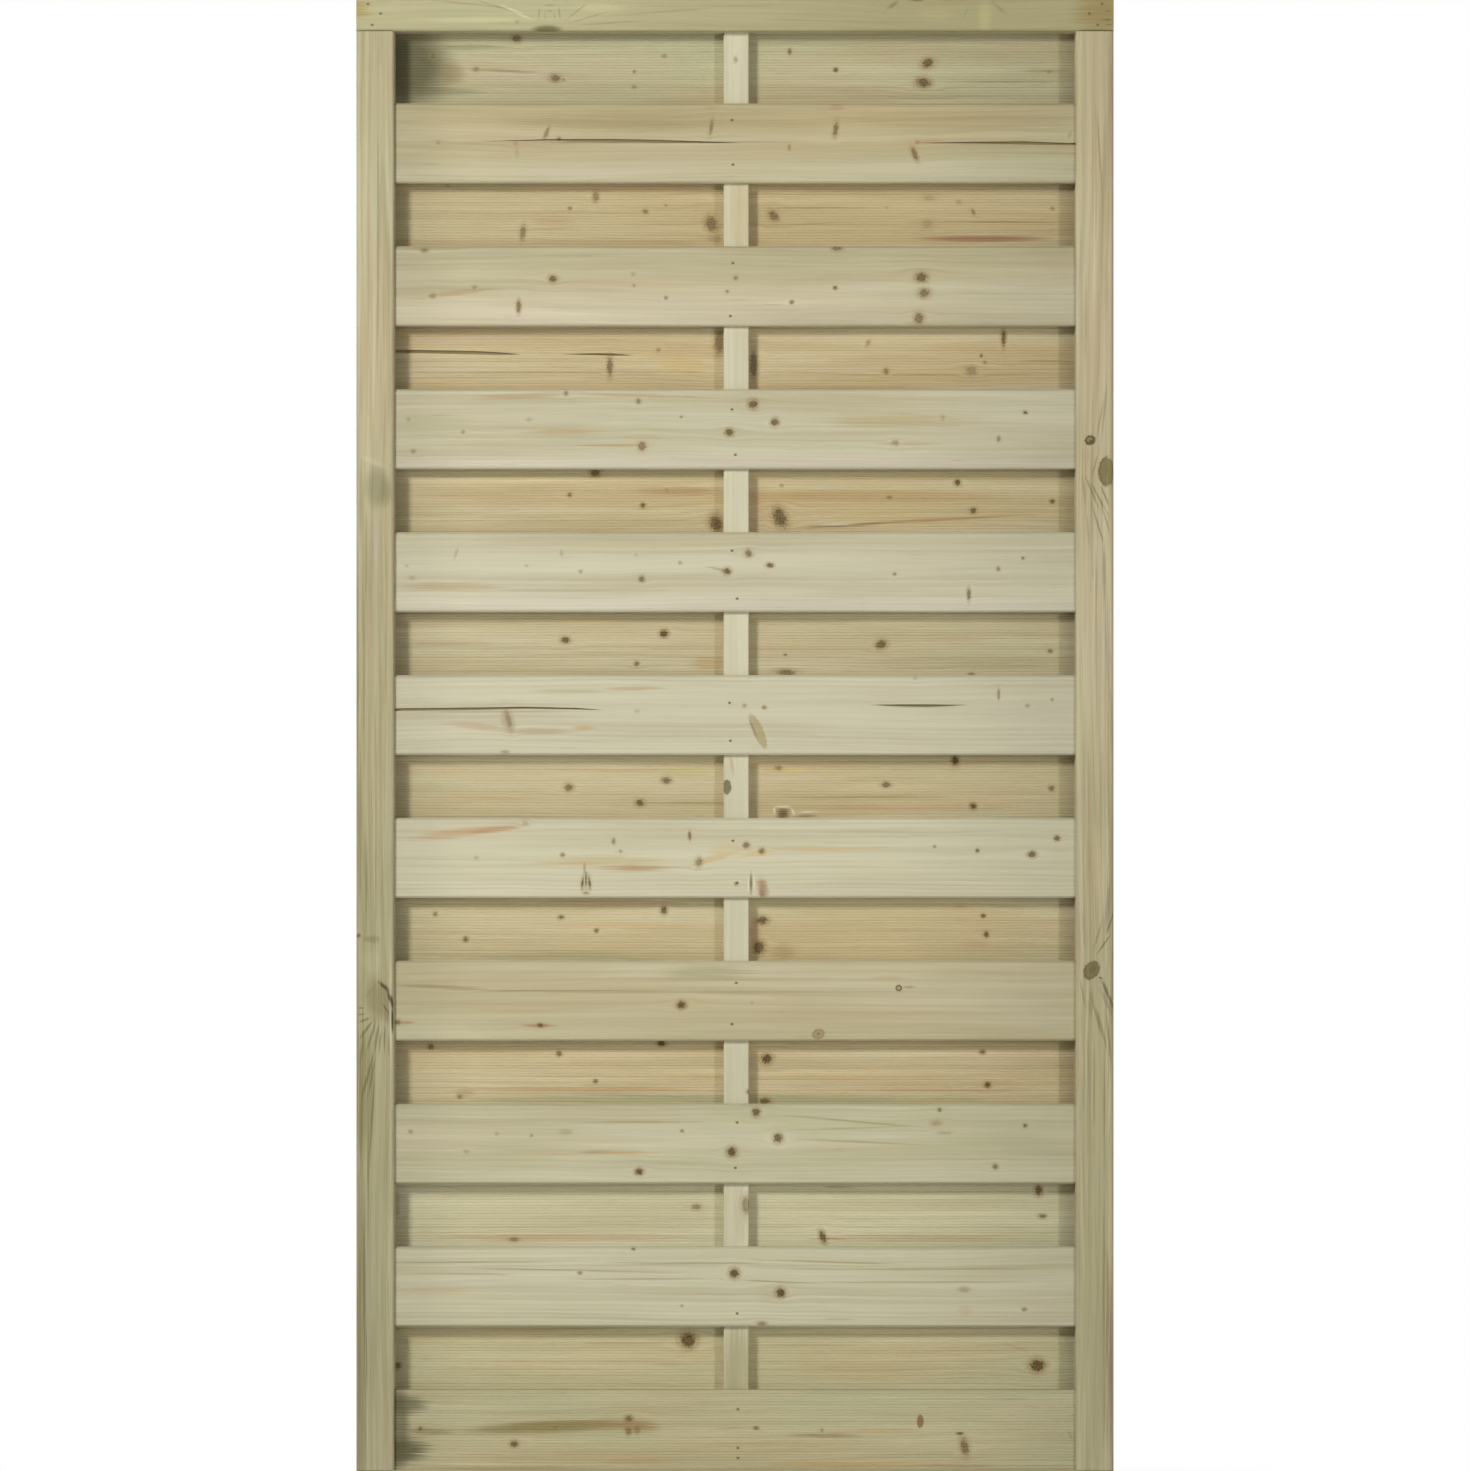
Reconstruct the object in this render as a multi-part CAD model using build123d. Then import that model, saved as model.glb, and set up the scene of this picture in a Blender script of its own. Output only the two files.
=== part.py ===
"""Double-sided slatted fence panel in planed, pressure-treated softwood.

Two rails and two stiles make a frame, joined at the corners by pinned bridle joints. Each stile has
two grooves, which hold the ends of two layers of slats. The slats of one layer cover the gaps of the
other, and all are nailed to an upright batten between the layers. Every slat is planed on its outer
face and reeded on its inner face.

Millimetres. X runs along the width, Y from the front (-Y) to the back, Z up. The origin is the
middle of the footprint, on the underside of the bottom rail.
"""

import os

from build123d import *

# Frame
PANEL_WIDTH = 900.0
PANEL_HEIGHT = 1800.0
FRAME_DEPTH = 45.0
STILE_FACE = 45.0
RAIL_FACE = 45.0
ARRIS_RADIUS = 4.0

# Slats and the space between their two layers
SLATS_PER_FACE = 10
SLAT_WIDTH = 95.0
SLAT_THICKNESS = 8.0
SLAT_EDGE_CHAMFER = 2.0
LAYER_SPACE = 16.0
SLAT_NUMBERS_TURNED = [10]

# Grooves in the stiles: depth, play across a slat and play at its end
GROOVE_DEPTH = 10.0
GROOVE_PLAY = 0.5
SLAT_END_PLAY = 1.0

# Reeding on one face of each slat
REED_PITCH = 3.3
REED_WIDTH = 1.2
REED_DEPTH = 0.5
REED_MARGIN = 1.5

# Centre batten, a little right of the middle as it was nailed
BATTEN_WIDTH = 30.0
BATTEN_CHAMFER = 1.0
BATTEN_OFFSET = 1.5

# Brads: headless flat-wire nails, driven just under the surface
BRAD_WIDTH = 2.0
BRAD_THICKNESS = 1.6
BRAD_SINK = 0.5
BRAD_BITE = 12.0

# Brads from the top slat down: (sideways from the batten's centre line, in from the slat's edge)
FRONT_BRADS_UPPER = [(-5, 20), (-4, 20), (-5, 24), (-5, 22), (-8, 33), (-4, 27), (0, 26), (1, 22),
                     (-2, 31), (2, 23)]
FRONT_BRADS_LOWER = [(-4, 22), (-7, 12), (-1, 17), (1, 16), (-7, 17), (1, 18), (-5, 20), (-1, 19),
                     (1, 16), (2, 26)]
EXTRA_BRAD_IN_LOWEST = (2, 14)
BACK_BRAD = (0, 21)

# Drying shakes in the side of a slat that shows from the front, by slat number. Each is given along its
# line by (x, height above the slat's centre line, width of the gap).
SHAKE_DEPTH = 3.0
FRONT_SHAKES = {
    1: [[(-308, 2.0, 0), (-224, 4.0, 1.5), (-147, 3.4, 3.4), (-88, 2.2, 3.6), (8, 0.4, 0)],
        [(216, 0.2, 0), (286, 0.8, 1.9), (343, 0.4, 4.0), (386, -1.0, 3.0), (420, -1.0, 2.4)]],
    5: [[(-420, 6.2, 3.2), (-304, 7.6, 3.0), (-250, 8.6, 2.8), (-191, 7.6, 2.0), (-156, 6.2, 0)],
        [(160, 12.1, 0), (196, 11.6, 2.2), (226, 11.2, 3.1), (278, 12.1, 0)]],
}
BACK_SHAKES = {
    3: [[(-420, 9.7, 3.0), (-311, 7.3, 4.2), (-281, 6.3, 3.4), (-257, 5.3, 0)],
        [(-207, 5.5, 0), (-173, 5.6, 1.6), (-148, 5.1, 2.6), (-121, 4.2, 0)]],
}

# Corner pins: (outwards, upwards) from the middle of the corner, and the wood left behind their points
PIN_PLACES = [(-6.5, -1.5), (3.5, -15.0), (8.5, 10.0)]
PIN_COVER = 6.0

# Worked out from the sizes above
opening_width = PANEL_WIDTH - 2 * STILE_FACE
opening_height = PANEL_HEIGHT - 2 * RAIL_FACE
slat_length = opening_width + 2 * (GROOVE_DEPTH - SLAT_END_PLAY)
slat_step = (opening_height - SLAT_WIDTH) / (2 * SLATS_PER_FACE - 1)
slat_outer_face = LAYER_SPACE / 2 + SLAT_THICKNESS
groove_width = SLAT_THICKNESS + GROOVE_PLAY
stile_centre = (PANEL_WIDTH - STILE_FACE) / 2
FRONT = 0
BACK = 180
LEFT = -1
RIGHT = 1


def from_face(shape, turn):
    """Shape drawn for the front face, turned to the front or to the back of the panel."""
    return Rot(0, 0, turn) * shape


def slat_section():
    """Section of a slat in the YZ plane: reeded face at y = 0, planed face towards -Y."""
    groove_count = int((SLAT_WIDTH - 2 * REED_MARGIN) / REED_PITCH)
    lowest_groove = -REED_PITCH * (groove_count - 1) / 2
    half_width = SLAT_WIDTH / 2
    outline = [(-SLAT_THICKNESS, half_width), (-SLAT_THICKNESS, -half_width), (0, -half_width)]
    for number in range(groove_count):
        centre = lowest_groove + number * REED_PITCH
        outline += [(0, centre - REED_WIDTH / 2), (-REED_DEPTH, centre), (0, centre + REED_WIDTH / 2)]
    outline.append((0, half_width))
    section = make_face(Polyline(*outline, close=True))
    planed_corners = section.vertices().group_by(Axis.X)[0]
    return chamfer(planed_corners, SLAT_EDGE_CHAMFER)


def slat_board(turned):
    """Front slat at mid-width and at height zero, before it is nailed; turned shows the reeding."""
    board = extrude(Plane.YZ * slat_section(), slat_length / 2, both=True)
    if turned:
        board = Pos(0, -SLAT_THICKNESS, 0) * Rot(0, 0, 180) * board
    return Pos(0, -LAYER_SPACE / 2, 0) * board


def brad(length):
    """Headless nail along +Y, with its top end at the origin."""
    return Pos(0, length / 2, 0) * Box(BRAD_WIDTH, length, BRAD_THICKNESS)


def brad_hole(length):
    """Space that a driven brad takes up, with the dent that it leaves above it."""
    return Pos(0, -BRAD_SINK, 0) * brad(BRAD_SINK + length)


def slat_height(step):
    """Height of the centre of the slat that lies so many steps below the top one."""
    return PANEL_HEIGHT - RAIL_FACE - SLAT_WIDTH / 2 - step * slat_step


def front_brad_places(number):
    """(x, z) of the brads in one front slat, counted from 0 at the top."""
    centre = slat_height(2 * number + 1)
    sideways, in_from_top = FRONT_BRADS_UPPER[number % len(FRONT_BRADS_UPPER)]
    places = [(BATTEN_OFFSET + sideways, centre + SLAT_WIDTH / 2 - in_from_top)]
    lower = [FRONT_BRADS_LOWER[number % len(FRONT_BRADS_LOWER)]]
    if number == SLATS_PER_FACE - 1:
        lower.append(EXTRA_BRAD_IN_LOWEST)
    for sideways, in_from_bottom in lower:
        places.append((BATTEN_OFFSET + sideways, centre - SLAT_WIDTH / 2 + in_from_bottom))
    return places


def back_brad_places(number):
    """(x, z) of the brads in one back slat, as seen from behind, where x is turned round."""
    centre = slat_height(2 * number)
    sideways, in_from_edge = BACK_BRAD
    reach = SLAT_WIDTH / 2 - in_from_edge
    return [(sideways - BATTEN_OFFSET, centre + reach), (sideways - BATTEN_OFFSET, centre - reach)]


def driven(shape, places, depth_of_face, turn):
    """Copies of a brad or its hole, sunk at each (x, z) under a face of the panel."""
    under_face = -depth_of_face + BRAD_SINK
    return [from_face(Pos(x, under_face, z) * shape, turn) for x, z in places]


def pin_places():
    """(x, z) of the pins that hold the four corner joints."""
    places = []
    for side in (LEFT, RIGHT):
        for height, up in ((RAIL_FACE / 2, -1), (PANEL_HEIGHT - RAIL_FACE / 2, 1)):
            for outwards, upwards in PIN_PLACES:
                places.append((side * (stile_centre + outwards), height + up * upwards))
    return places


def tenon(side, height):
    """Tenon of one stile, or the slot for it, through the whole height of the rail at a corner."""
    return Pos(side * stile_centre, 0, height) * Box(STILE_FACE, LAYER_SPACE, RAIL_FACE)


def stile(side):
    """Upright with two slat grooves in its inner side and a tenon at each end."""
    section = RectangleRounded(STILE_FACE, FRAME_DEPTH, ARRIS_RADIUS)
    groove_middle = (LAYER_SPACE + groove_width) / 2
    groove_inset = -side * (STILE_FACE - GROOVE_DEPTH) / 2
    for y in (-groove_middle, groove_middle):
        section -= Pos(groove_inset, y) * Rectangle(GROOVE_DEPTH, groove_width)
    shaft = Pos(side * stile_centre, 0, RAIL_FACE) * extrude(section, opening_height)
    return shaft + tenon(side, RAIL_FACE / 2) + tenon(side, PANEL_HEIGHT - RAIL_FACE / 2)


def rail(height):
    """Rail over the full width, slotted at both ends, with its centre line at a height."""
    section = RectangleRounded(FRAME_DEPTH, RAIL_FACE, ARRIS_RADIUS)
    bar = Pos(0, 0, height) * extrude(Plane.YZ * section, PANEL_WIDTH / 2, both=True)
    return bar - tenon(LEFT, height) - tenon(RIGHT, height)


def centre_batten():
    """Upright between the two layers of slats, from rail to rail."""
    section = Rectangle(BATTEN_WIDTH, LAYER_SPACE)
    section = chamfer(section.vertices(), BATTEN_CHAMFER)
    return Pos(BATTEN_OFFSET, 0, RAIL_FACE) * extrude(section, opening_height)


def shake(stations):
    """Space of one drying shake, as deep on either side of y = 0."""
    upper = [(x, height + gap / 2) for x, height, gap in stations]
    lower = [(x, height - gap / 2) for x, height, gap in reversed(stations) if gap]
    outline = make_face(Polyline(*upper, *lower, close=True))
    return extrude(Plane.XZ * outline, SHAKE_DEPTH, both=True)


def nailed_slats(turn, first_step, brad_places, shakes, face_with_shakes):
    """The slats of one face from the top down, each with the holes of its own brads and its shakes."""
    hole = brad_hole(SLAT_THICKNESS - BRAD_SINK + BRAD_BITE)
    slats = []
    for number in range(SLATS_PER_FACE):
        height = slat_height(2 * number + first_step)
        turned = turn == FRONT and number + 1 in SLAT_NUMBERS_TURNED
        slat = Pos(0, 0, height) * from_face(slat_board(turned), turn)
        for cut in driven(hole, brad_places(number), slat_outer_face, turn):
            slat -= cut
        for stations in shakes.get(number + 1, []):
            slat -= Pos(0, face_with_shakes, height) * shake(stations)
        slats.append(slat)
    return slats


def slat_brads(turn, brad_places):
    """All brads of one face."""
    nail = brad(SLAT_THICKNESS - BRAD_SINK + BRAD_BITE)
    nails = []
    for number in range(SLATS_PER_FACE):
        nails += driven(nail, brad_places(number), slat_outer_face, turn)
    return nails


def build_panel():
    """Every node of the panel, as a dictionary of name to shape."""
    pin_length = FRAME_DEPTH - BRAD_SINK - PIN_COVER
    pins = driven(brad(pin_length), pin_places(), FRAME_DEPTH / 2, FRONT)
    pin_holes = driven(brad_hole(pin_length), pin_places(), FRAME_DEPTH / 2, FRONT)
    front_brads = slat_brads(FRONT, front_brad_places)
    back_brads = slat_brads(BACK, back_brad_places)

    nodes = {
        "left_stile": stile(LEFT) - pin_holes,
        "right_stile": stile(RIGHT) - pin_holes,
        "bottom_rail": rail(RAIL_FACE / 2) - pin_holes,
        "top_rail": rail(PANEL_HEIGHT - RAIL_FACE / 2) - pin_holes,
        "centre_batten": centre_batten() - front_brads - back_brads,
        "corner_pins": Compound(children=pins),
        "front_slat_brads": Compound(children=front_brads),
        "back_slat_brads": Compound(children=back_brads),
    }
    front_slats = nailed_slats(FRONT, 1, front_brad_places, FRONT_SHAKES, -slat_outer_face)
    back_slats = nailed_slats(BACK, 0, back_brad_places, BACK_SHAKES, LAYER_SPACE / 2)
    for number, slat in enumerate(front_slats, start=1):
        nodes[f"front_slat_{number:02d}"] = slat
    for number, slat in enumerate(back_slats, start=1):
        nodes[f"back_slat_{number:02d}"] = slat
    return nodes


os.makedirs("parts", exist_ok=True)
for name, shape in build_panel().items():
    export_step(shape, f"parts/{name}.step")
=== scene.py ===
"""Looks of a slatted wooden fence panel: camera, light, timber and nails.

Metres, in the frame of the solids: X along the width, -Y the front, Z up. Marks in the timber, such
as knots and streaks, are placed by their pixel in the photograph, and so are their sizes.
"""

import random
from collections import namedtuple

import bpy
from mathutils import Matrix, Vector


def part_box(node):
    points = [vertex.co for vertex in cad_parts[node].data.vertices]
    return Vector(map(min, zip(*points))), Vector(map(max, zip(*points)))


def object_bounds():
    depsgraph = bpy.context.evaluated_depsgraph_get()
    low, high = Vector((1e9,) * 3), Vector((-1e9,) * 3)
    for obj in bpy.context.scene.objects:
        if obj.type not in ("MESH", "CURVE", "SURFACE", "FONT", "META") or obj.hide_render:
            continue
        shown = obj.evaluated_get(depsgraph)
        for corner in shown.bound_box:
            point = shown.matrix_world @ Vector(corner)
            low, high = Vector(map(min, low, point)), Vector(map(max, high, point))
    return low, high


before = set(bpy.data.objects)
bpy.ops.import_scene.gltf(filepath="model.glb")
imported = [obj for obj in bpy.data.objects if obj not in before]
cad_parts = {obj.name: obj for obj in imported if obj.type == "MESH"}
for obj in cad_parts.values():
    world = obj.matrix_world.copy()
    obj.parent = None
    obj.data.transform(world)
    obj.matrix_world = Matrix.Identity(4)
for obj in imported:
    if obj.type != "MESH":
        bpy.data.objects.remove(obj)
solid_low, solid_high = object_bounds()

# Photograph: its size, and what its pixels measure on the panel's front plane
PHOTO_WIDTH_PX = 1470
PHOTO_HEIGHT_PX = 1471
PANEL_LEFT_PX = 356.1
PANEL_RIGHT_PX = 1113.6
CAMERA_DISTANCE = 7.3
CAMERA_HEIGHT = 0.9182
SENSOR_MM = 36.0
QUARTER_TURN = 1.5707963
metres_per_px = (solid_high[0] - solid_low[0]) / (PANEL_RIGHT_PX - PANEL_LEFT_PX)
view_height = PHOTO_HEIGHT_PX * metres_per_px
front_plane = solid_low[1]

# Lamps: place, width, height and power in watts
KEY_LAMP = ((-3.05, -4.25, 3.05), 0.87, 0.87, 193.0)
SECOND_LAMP = ((5.8, -8.0, 1.7), 0.8, 2.4, 238.0)
REAR_LAMP = ((2.4, 5.2, 2.6), 2.4, 2.4, 140.0)
LAMPS_AIM = (0.0, 0.0, 0.9)
SKY_STRENGTH = 0.13
WHITE = (1.0, 1.0, 1.0, 1.0)

# Floor: half its side, its paint, its glow to the eye, and from where to where it turns white
FLOOR_REACH = 6.0
FLOOR_PAINT = (0.8, 0.8, 0.8, 1.0)
FLOOR_GLOW = 0.6
FLOOR_FADE = (0.06, 0.5)

# Knots and marks in the wood, in pixels: centre, half width, half height, and turn to the left in
# radians. A board's knots and marks are rows of these fields.
Knot = namedtuple("Knot", "x y wide high dark turn", defaults=(0.0,))
Mark = namedtuple("Mark", "x y wide high tone strength turn edge", defaults=(0.5, 0.0, "frayed"))
KNOT_DEPTH = 0.05
STREAK_DEPTH = 0.006
SHAKE_DEPTH = 0.0036
NAIL_NODES = ("front_slat_brads", "back_slat_brads", "corner_pins")
NAIL_REACH = 0.006
# Nail marks: a dark stain round each nail, partly painted shadow of its sunk head
NAIL_STAIN_AND_SHADOW = (0.002, 0.0016, KNOT_DEPTH)
NAIL_STAIN_AND_SHADOW_STRENGTH = 0.75

# One board. warm mixes pale with honey-coloured wood, green adds a greenish tint, shade darkens it all
# and lines is how clear its grain is.
Board = namedtuple("Board", "warm shade green knots marks lines", defaults=((), (), 1.0))

# Growth rings: how many there are in a metre, where their centre lies (along the board, then off the
# middle of its face and behind it), and how much slower they change along the trunk than across it
RINGS_PER_METRE = 330.0
PITH_ALONG, PITH_ACROSS, PITH_BEHIND = 0.3, 0.01, 0.055
TRUNK_TAPER = 0.014

# Noises in the wood: how fast they change along, across and into a board
WANDER, WANDER_REACH = (1.6, 5.0, 5.0), 0.011
WOBBLE, WOBBLE_REACH = (9.0, 26.0, 26.0), 0.0014
FIBRE = (12.0, 900.0, 420.0)
BAND = (4.0, 230.0, 160.0)
PATCH = (2.2, 38.0, 30.0)
TINT = (3.4, 17.0, 12.0)
FLECK = (30.0, 640.0, 420.0)
RAGGED, RAGGED_REACH = 420.0, (1.3, 1.1, 0.0)
OTHER_SEED = 7.7
USUAL_NOISE = (0.3, 0.7)
SEED, SEED_RANGE = 11, 400

# How much of each goes into the colour or the brightness
WARM_SPREAD = 0.25
GREEN_LEAST, GREEN_MOST = 0.4, 1.6
LATE_SHARE = 0.26
FIBRE_SHARE = 0.062
BAND_SHARE = 0.065
SWEEP_SHARE = 0.06
HALO_SHARE = 0.7
SHAKE_SHADE_SHARE = 0.8

# Steps: from and to which value they go and, unless that is 0 to 1, what they give at its two ends
LATE_RISE, LATE_DROP = (0.25, 0.86), (0.9, 1.0, 1.0, 0.0)
GRAIN_BEND, KNOT_CORE, KNOT_HALO = (1.0, 8.0, 1.0, 0.0), (0.55, 1.1, 1.1, 0.0), (0.7, 2.0, 1.0, 0.0)
FLECKS = (0.68, 0.8, 0.0, 0.3)
FRAY = (0.2, 0.8, -0.45, 0.45)
# Painted shade on the slats: darker towards the right end, where the light falls off, and at the left end;
# painted shadow of the stiles at the back slats' ends; painted shade along the long edges
RIGHT_END_PAINTED_SHADE, LEFT_END_PAINTED_SHADE = (0.16, 0.46, 1.0, 0.84), (-0.4, -0.31, 0.88, 1.0)
BACK_ENDS_PAINTED_SHADOW = (0.385, 0.405, 1.0, 0.78)
LONG_EDGES_PAINTED_SHADE = (0.0425, 0.047, 1.0, 0.9)
SHAKE_TOP, SHAKE_FLOOR = (0.0006, 0.0012), (SHAKE_DEPTH, SHAKE_DEPTH + 0.0005, 1.0, 0.0)
SHAKE_ENDS = (0.0455, 0.0462, 1.0, 0.0)
BOARDS_WITH_SHAKES = ("front_slat_01", "front_slat_05", "back_slat_03")

# Edge of a mark: how far its rim moves, and at which share of its size it starts to fade
EVEN_EDGE = (-0.4, 0.1)
FRAYED_RIM = 0.3
CRISP_NOTCH, CRISP_RIM = 0.3, 0.75

# Tones as they look on a screen, 0 to 255
PALE = (208, 202, 173)
HONEY = (198, 177, 132)
GREENISH = (188, 186, 147)
LATEWOOD = (158, 138, 94)
KNOT_DARK = (84, 67, 36)
KNOT_BROWN = (156, 128, 80)
TAN = (188, 158, 112)
RED = (176, 126, 92)
OLIVE = (150, 136, 88)
# Dark greenish tone of the left corners: painted shadow, with some stain
CORNER_SHADOW_AND_STAIN = (92, 89, 57)
CREAM = (222, 214, 186)
PINK = (206, 186, 168)
# Dark of the cracks and shakes, painted shade; also the stain round nails and the dark patches of the steel
SPLIT_SHADE_AND_STAIN = (100, 84, 54)
# Painted shade inside the shakes
SHAKE_PAINTED_SHADE = (128, 112, 66)
STEEL = (120, 112, 96)

# How dark a knot is against the board round it, read from the photograph
FAINT, SOFT, CLEAR = 0.2, 0.35, 0.5
STRONG, DEEP, BLACK = 0.65, 0.8, 0.95


def wash(*mark):
    """A soft patch without fraying."""
    return Mark(*mark)._replace(edge="even")


def spot(*mark):
    """A mark with a clear, slightly ragged rim."""
    return Mark(*mark)._replace(edge="crisp")


def line(x, y, wide, high, strength=0.5, turn=0.0):
    """A greenish brown streak of the grain."""
    return Mark(x, y, wide, high, OLIVE, strength, turn)


def glow(x, y, wide, high, strength=0.5, turn=0.0):
    """A tan streak."""
    return Mark(x, y, wide, high, TAN, strength, turn)


BOARDS = {}
BOARDS["top_rail"] = Board(0.5, 0.95, 0.3, knots=[
    (517, 22, 2.2, 2, FAINT), (893, 5, 7, 2, SOFT, 0.6), (917, 0, 8, 1.6, CLEAR),
    (999, 8, 8, 1.8, FAINT, -0.75), (952, -8, 30, 9, SOFT)], marks=[
    wash(700, 12, 640, 70, (182, 176, 134), 0.85), wash(1000, 14, 200, 60, (160, 152, 108), 0.7),
    wash(760, 16, 150, 50, (172, 164, 122), 0.45), wash(1097, 30.6, 20, 1.1, (100, 86, 50), 0.7),
    wash(376, 30.8, 21, 1, (110, 96, 60), 0.45), (480, 10, 70, 12, (182, 180, 140), 0.4),
    (352, 10, 26, 14, (170, 150, 90), 0.8), (1104, 12, 38, 30, (150, 128, 74), 0.7),
    (935, 14, 24, 10, (182, 168, 124)), (985, 16, 9, 26, (186, 178, 126), 0.55),
    (966, 12, 1.6, 9, (150, 142, 98), 0.5, -0.5), (600, 8, 30, 7, (206, 196, 150)),
    (476, 20, 60, 4, (206, 200, 154)), (516, 12, 22, 2.4, (224, 214, 168), 0.8, -0.42),
    line(470, 4, 60, 1.2, 0.5, -0.1), line(505, 9, 40, 1.2, 0.5, -0.3), line(539, 13, 1.1, 8, 0.6, -0.1),
    line(549, 5.5, 8, 1.1, 0.6), line(559.5, 13, 1.1, 9, 0.6, 0.1), line(550, 11, 4.5, 1),
    line(554.5, 16, 1, 4.5), line(545, 16, 1, 5, 0.4), line(576, 12, 18, 1.1, 0.6, 0.68),
    line(590, 17, 28, 1.1, 0.5, 0.28), line(610, 23, 44, 1.1, 0.5, 0.06), line(660, 12, 80, 1.2, 0.35, 0.08),
    wash(547, 29.5, 14, 4.2, (112, 106, 66), 0.9), line(720, 6, 110, 1.3, 0.35),
    # The three thin dark marks at the right end are painted shade in the rail's cracks
    line(850, 21, 120, 1.3, 0.3, -0.02), (1108, 11, 6, 0.9, SPLIT_SHADE_AND_STAIN, 0.7), (1107, 20, 7, 0.9, SPLIT_SHADE_AND_STAIN, 0.7),
    (1109, 24.5, 5, 0.8, SPLIT_SHADE_AND_STAIN, 0.7)])
BOARDS["bottom_rail"] = Board(0.6, 0.86, 0.4)
BOARDS["left_stile"] = Board(0.4, 0.885, 0.4, lines=1.7, knots=[
    (358.5, 935.7, 2.5, 2.2, STRONG)], marks=[
    # The first mark, long and centred low, darkens the stile's lower half: painted shade, the light falling
    # off towards the bottom
    (372, 1150, 30, 420, (150, 146, 104), 0.45), wash(372, 720, 30, 210, (168, 160, 118), 0.4),
    wash(372, 1460, 40, 130, (166, 160, 124), 0.3), wash(372, 60, 40, 90, (184, 173, 132)),
    wash(372, 350, 40, 130, (192, 176, 140)), wash(372, 920, 40, 90, (160, 152, 112), 0.35),
    (363, 160, 2, 120, (200, 182, 130), 0.6), (378, 210, 1.6, 160, (176, 158, 110), 0.6),
    glow(369, 250, 1.4, 110, 0.4), (384, 330, 1.3, 150, (182, 164, 120), 0.6),
    (365, 350, 1.6, 90, (204, 170, 124), 0.6), (374, 330, 1.6, 120, (214, 190, 150)),
    (371, 400, 1.2, 90, (180, 158, 112)), (388, 270, 2, 110, (176, 162, 118)),
    wash(377, 487, 12, 20, (136, 134, 95), 0.55), (374, 462, 20, 4, CREAM, 0.25, -0.4),
    (386, 492, 8, 20, (140, 136, 96)), (361, 500, 3, 60, (150, 138, 96)), (366, 560, 1.4, 60, (146, 136, 92)),
    (376, 545, 3, 46, PINK, 0.4), (358, 700, 1.5, 190, (134, 126, 80), 0.65),
    (364, 690, 1.3, 120, (140, 132, 88), 0.55), (370, 640, 3, 60, (196, 172, 142), 0.45),
    (362, 660, 2, 90, (190, 168, 136), 0.4), (381, 760, 2.4, 150, (176, 160, 116)),
    (376, 790, 1.4, 120, (150, 140, 96)), (360, 830, 2.2, 120, (146, 138, 92), 0.6),
    (386, 620, 1.6, 120, (158, 148, 104)), (372, 939, 13, 5, (136, 126, 86), 0.55),
    (366, 900, 1.4, 60, (142, 132, 88), 0.6), (376, 905, 1.3, 60, (146, 136, 92), 0.55),
    (372, 962, 14, 16, (188, 180, 142)), wash(379, 1000, 13, 20, (142, 130, 92), 0.7, 0.15),
    (384, 986.5, 3, 9.5, (84, 72, 44), 0.95, 0.8), (390.6, 999.5, 2.9, 12.5, (84, 72, 44), 0.95, 0.35),
    (392.4, 1021, 1.8, 17, (80, 68, 42), 0.95), (386, 1009, 1.4, 9, (98, 84, 56), 0.85, 0.59),
    (387, 1016, 4, 12, (144, 130, 92), 0.6, 0.2), (371, 990, 1.1, 12, (140, 128, 88), 0.6, -0.7),
    (361, 1008, 4, 1.2, (126, 116, 76), 0.7), (361, 1014.5, 6, 1.2, (126, 116, 76), 0.7, 0.1),
    (365, 1020, 9, 2, (124, 114, 74), 0.75, 0.35), (366.7, 1029, 2.1, 17, (118, 108, 70), 0.8, -0.62),
    (371, 1037, 2, 22, (120, 110, 72), 0.75, -0.28), (376.7, 1038, 1.8, 20, (122, 112, 74), 0.7, -0.14),
    (380.4, 1040, 1.6, 18, (124, 116, 78), 0.7, -0.1), (384.6, 1038, 1.6, 16, (126, 118, 82), 0.7),
    (388.6, 1046, 1.1, 14, (128, 120, 84), 0.6), (362, 1050, 2, 27, (124, 114, 74), 0.65, -0.15),
    wash(365, 1090, 10, 60, (136, 124, 82)), (368, 1075, 2, 30, (118, 108, 68), 0.75, -0.26),
    (371.7, 1077, 1.8, 28, (122, 112, 72), 0.7, -0.185), (361, 1120, 2.4, 70, (126, 116, 74), 0.7),
    (372, 1120, 1.4, 70, (122, 112, 72), 0.7, -0.06), (368, 1180, 1.6, 90, (128, 118, 76), 0.6),
    (384, 1120, 5, 60, (176, 168, 128), 0.4), wash(380, 1320, 12, 160, (172, 166, 128), 0.6),
    wash(361, 1330, 5, 170, (136, 124, 82)), (359, 1330, 3, 170, (128, 116, 74)),
    (364, 1290, 1.3, 130, (122, 110, 68), 0.65), (379, 1300, 8, 150, (176, 170, 132)),
    (366, 1400, 1.3, 90, (126, 116, 74))])
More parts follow.
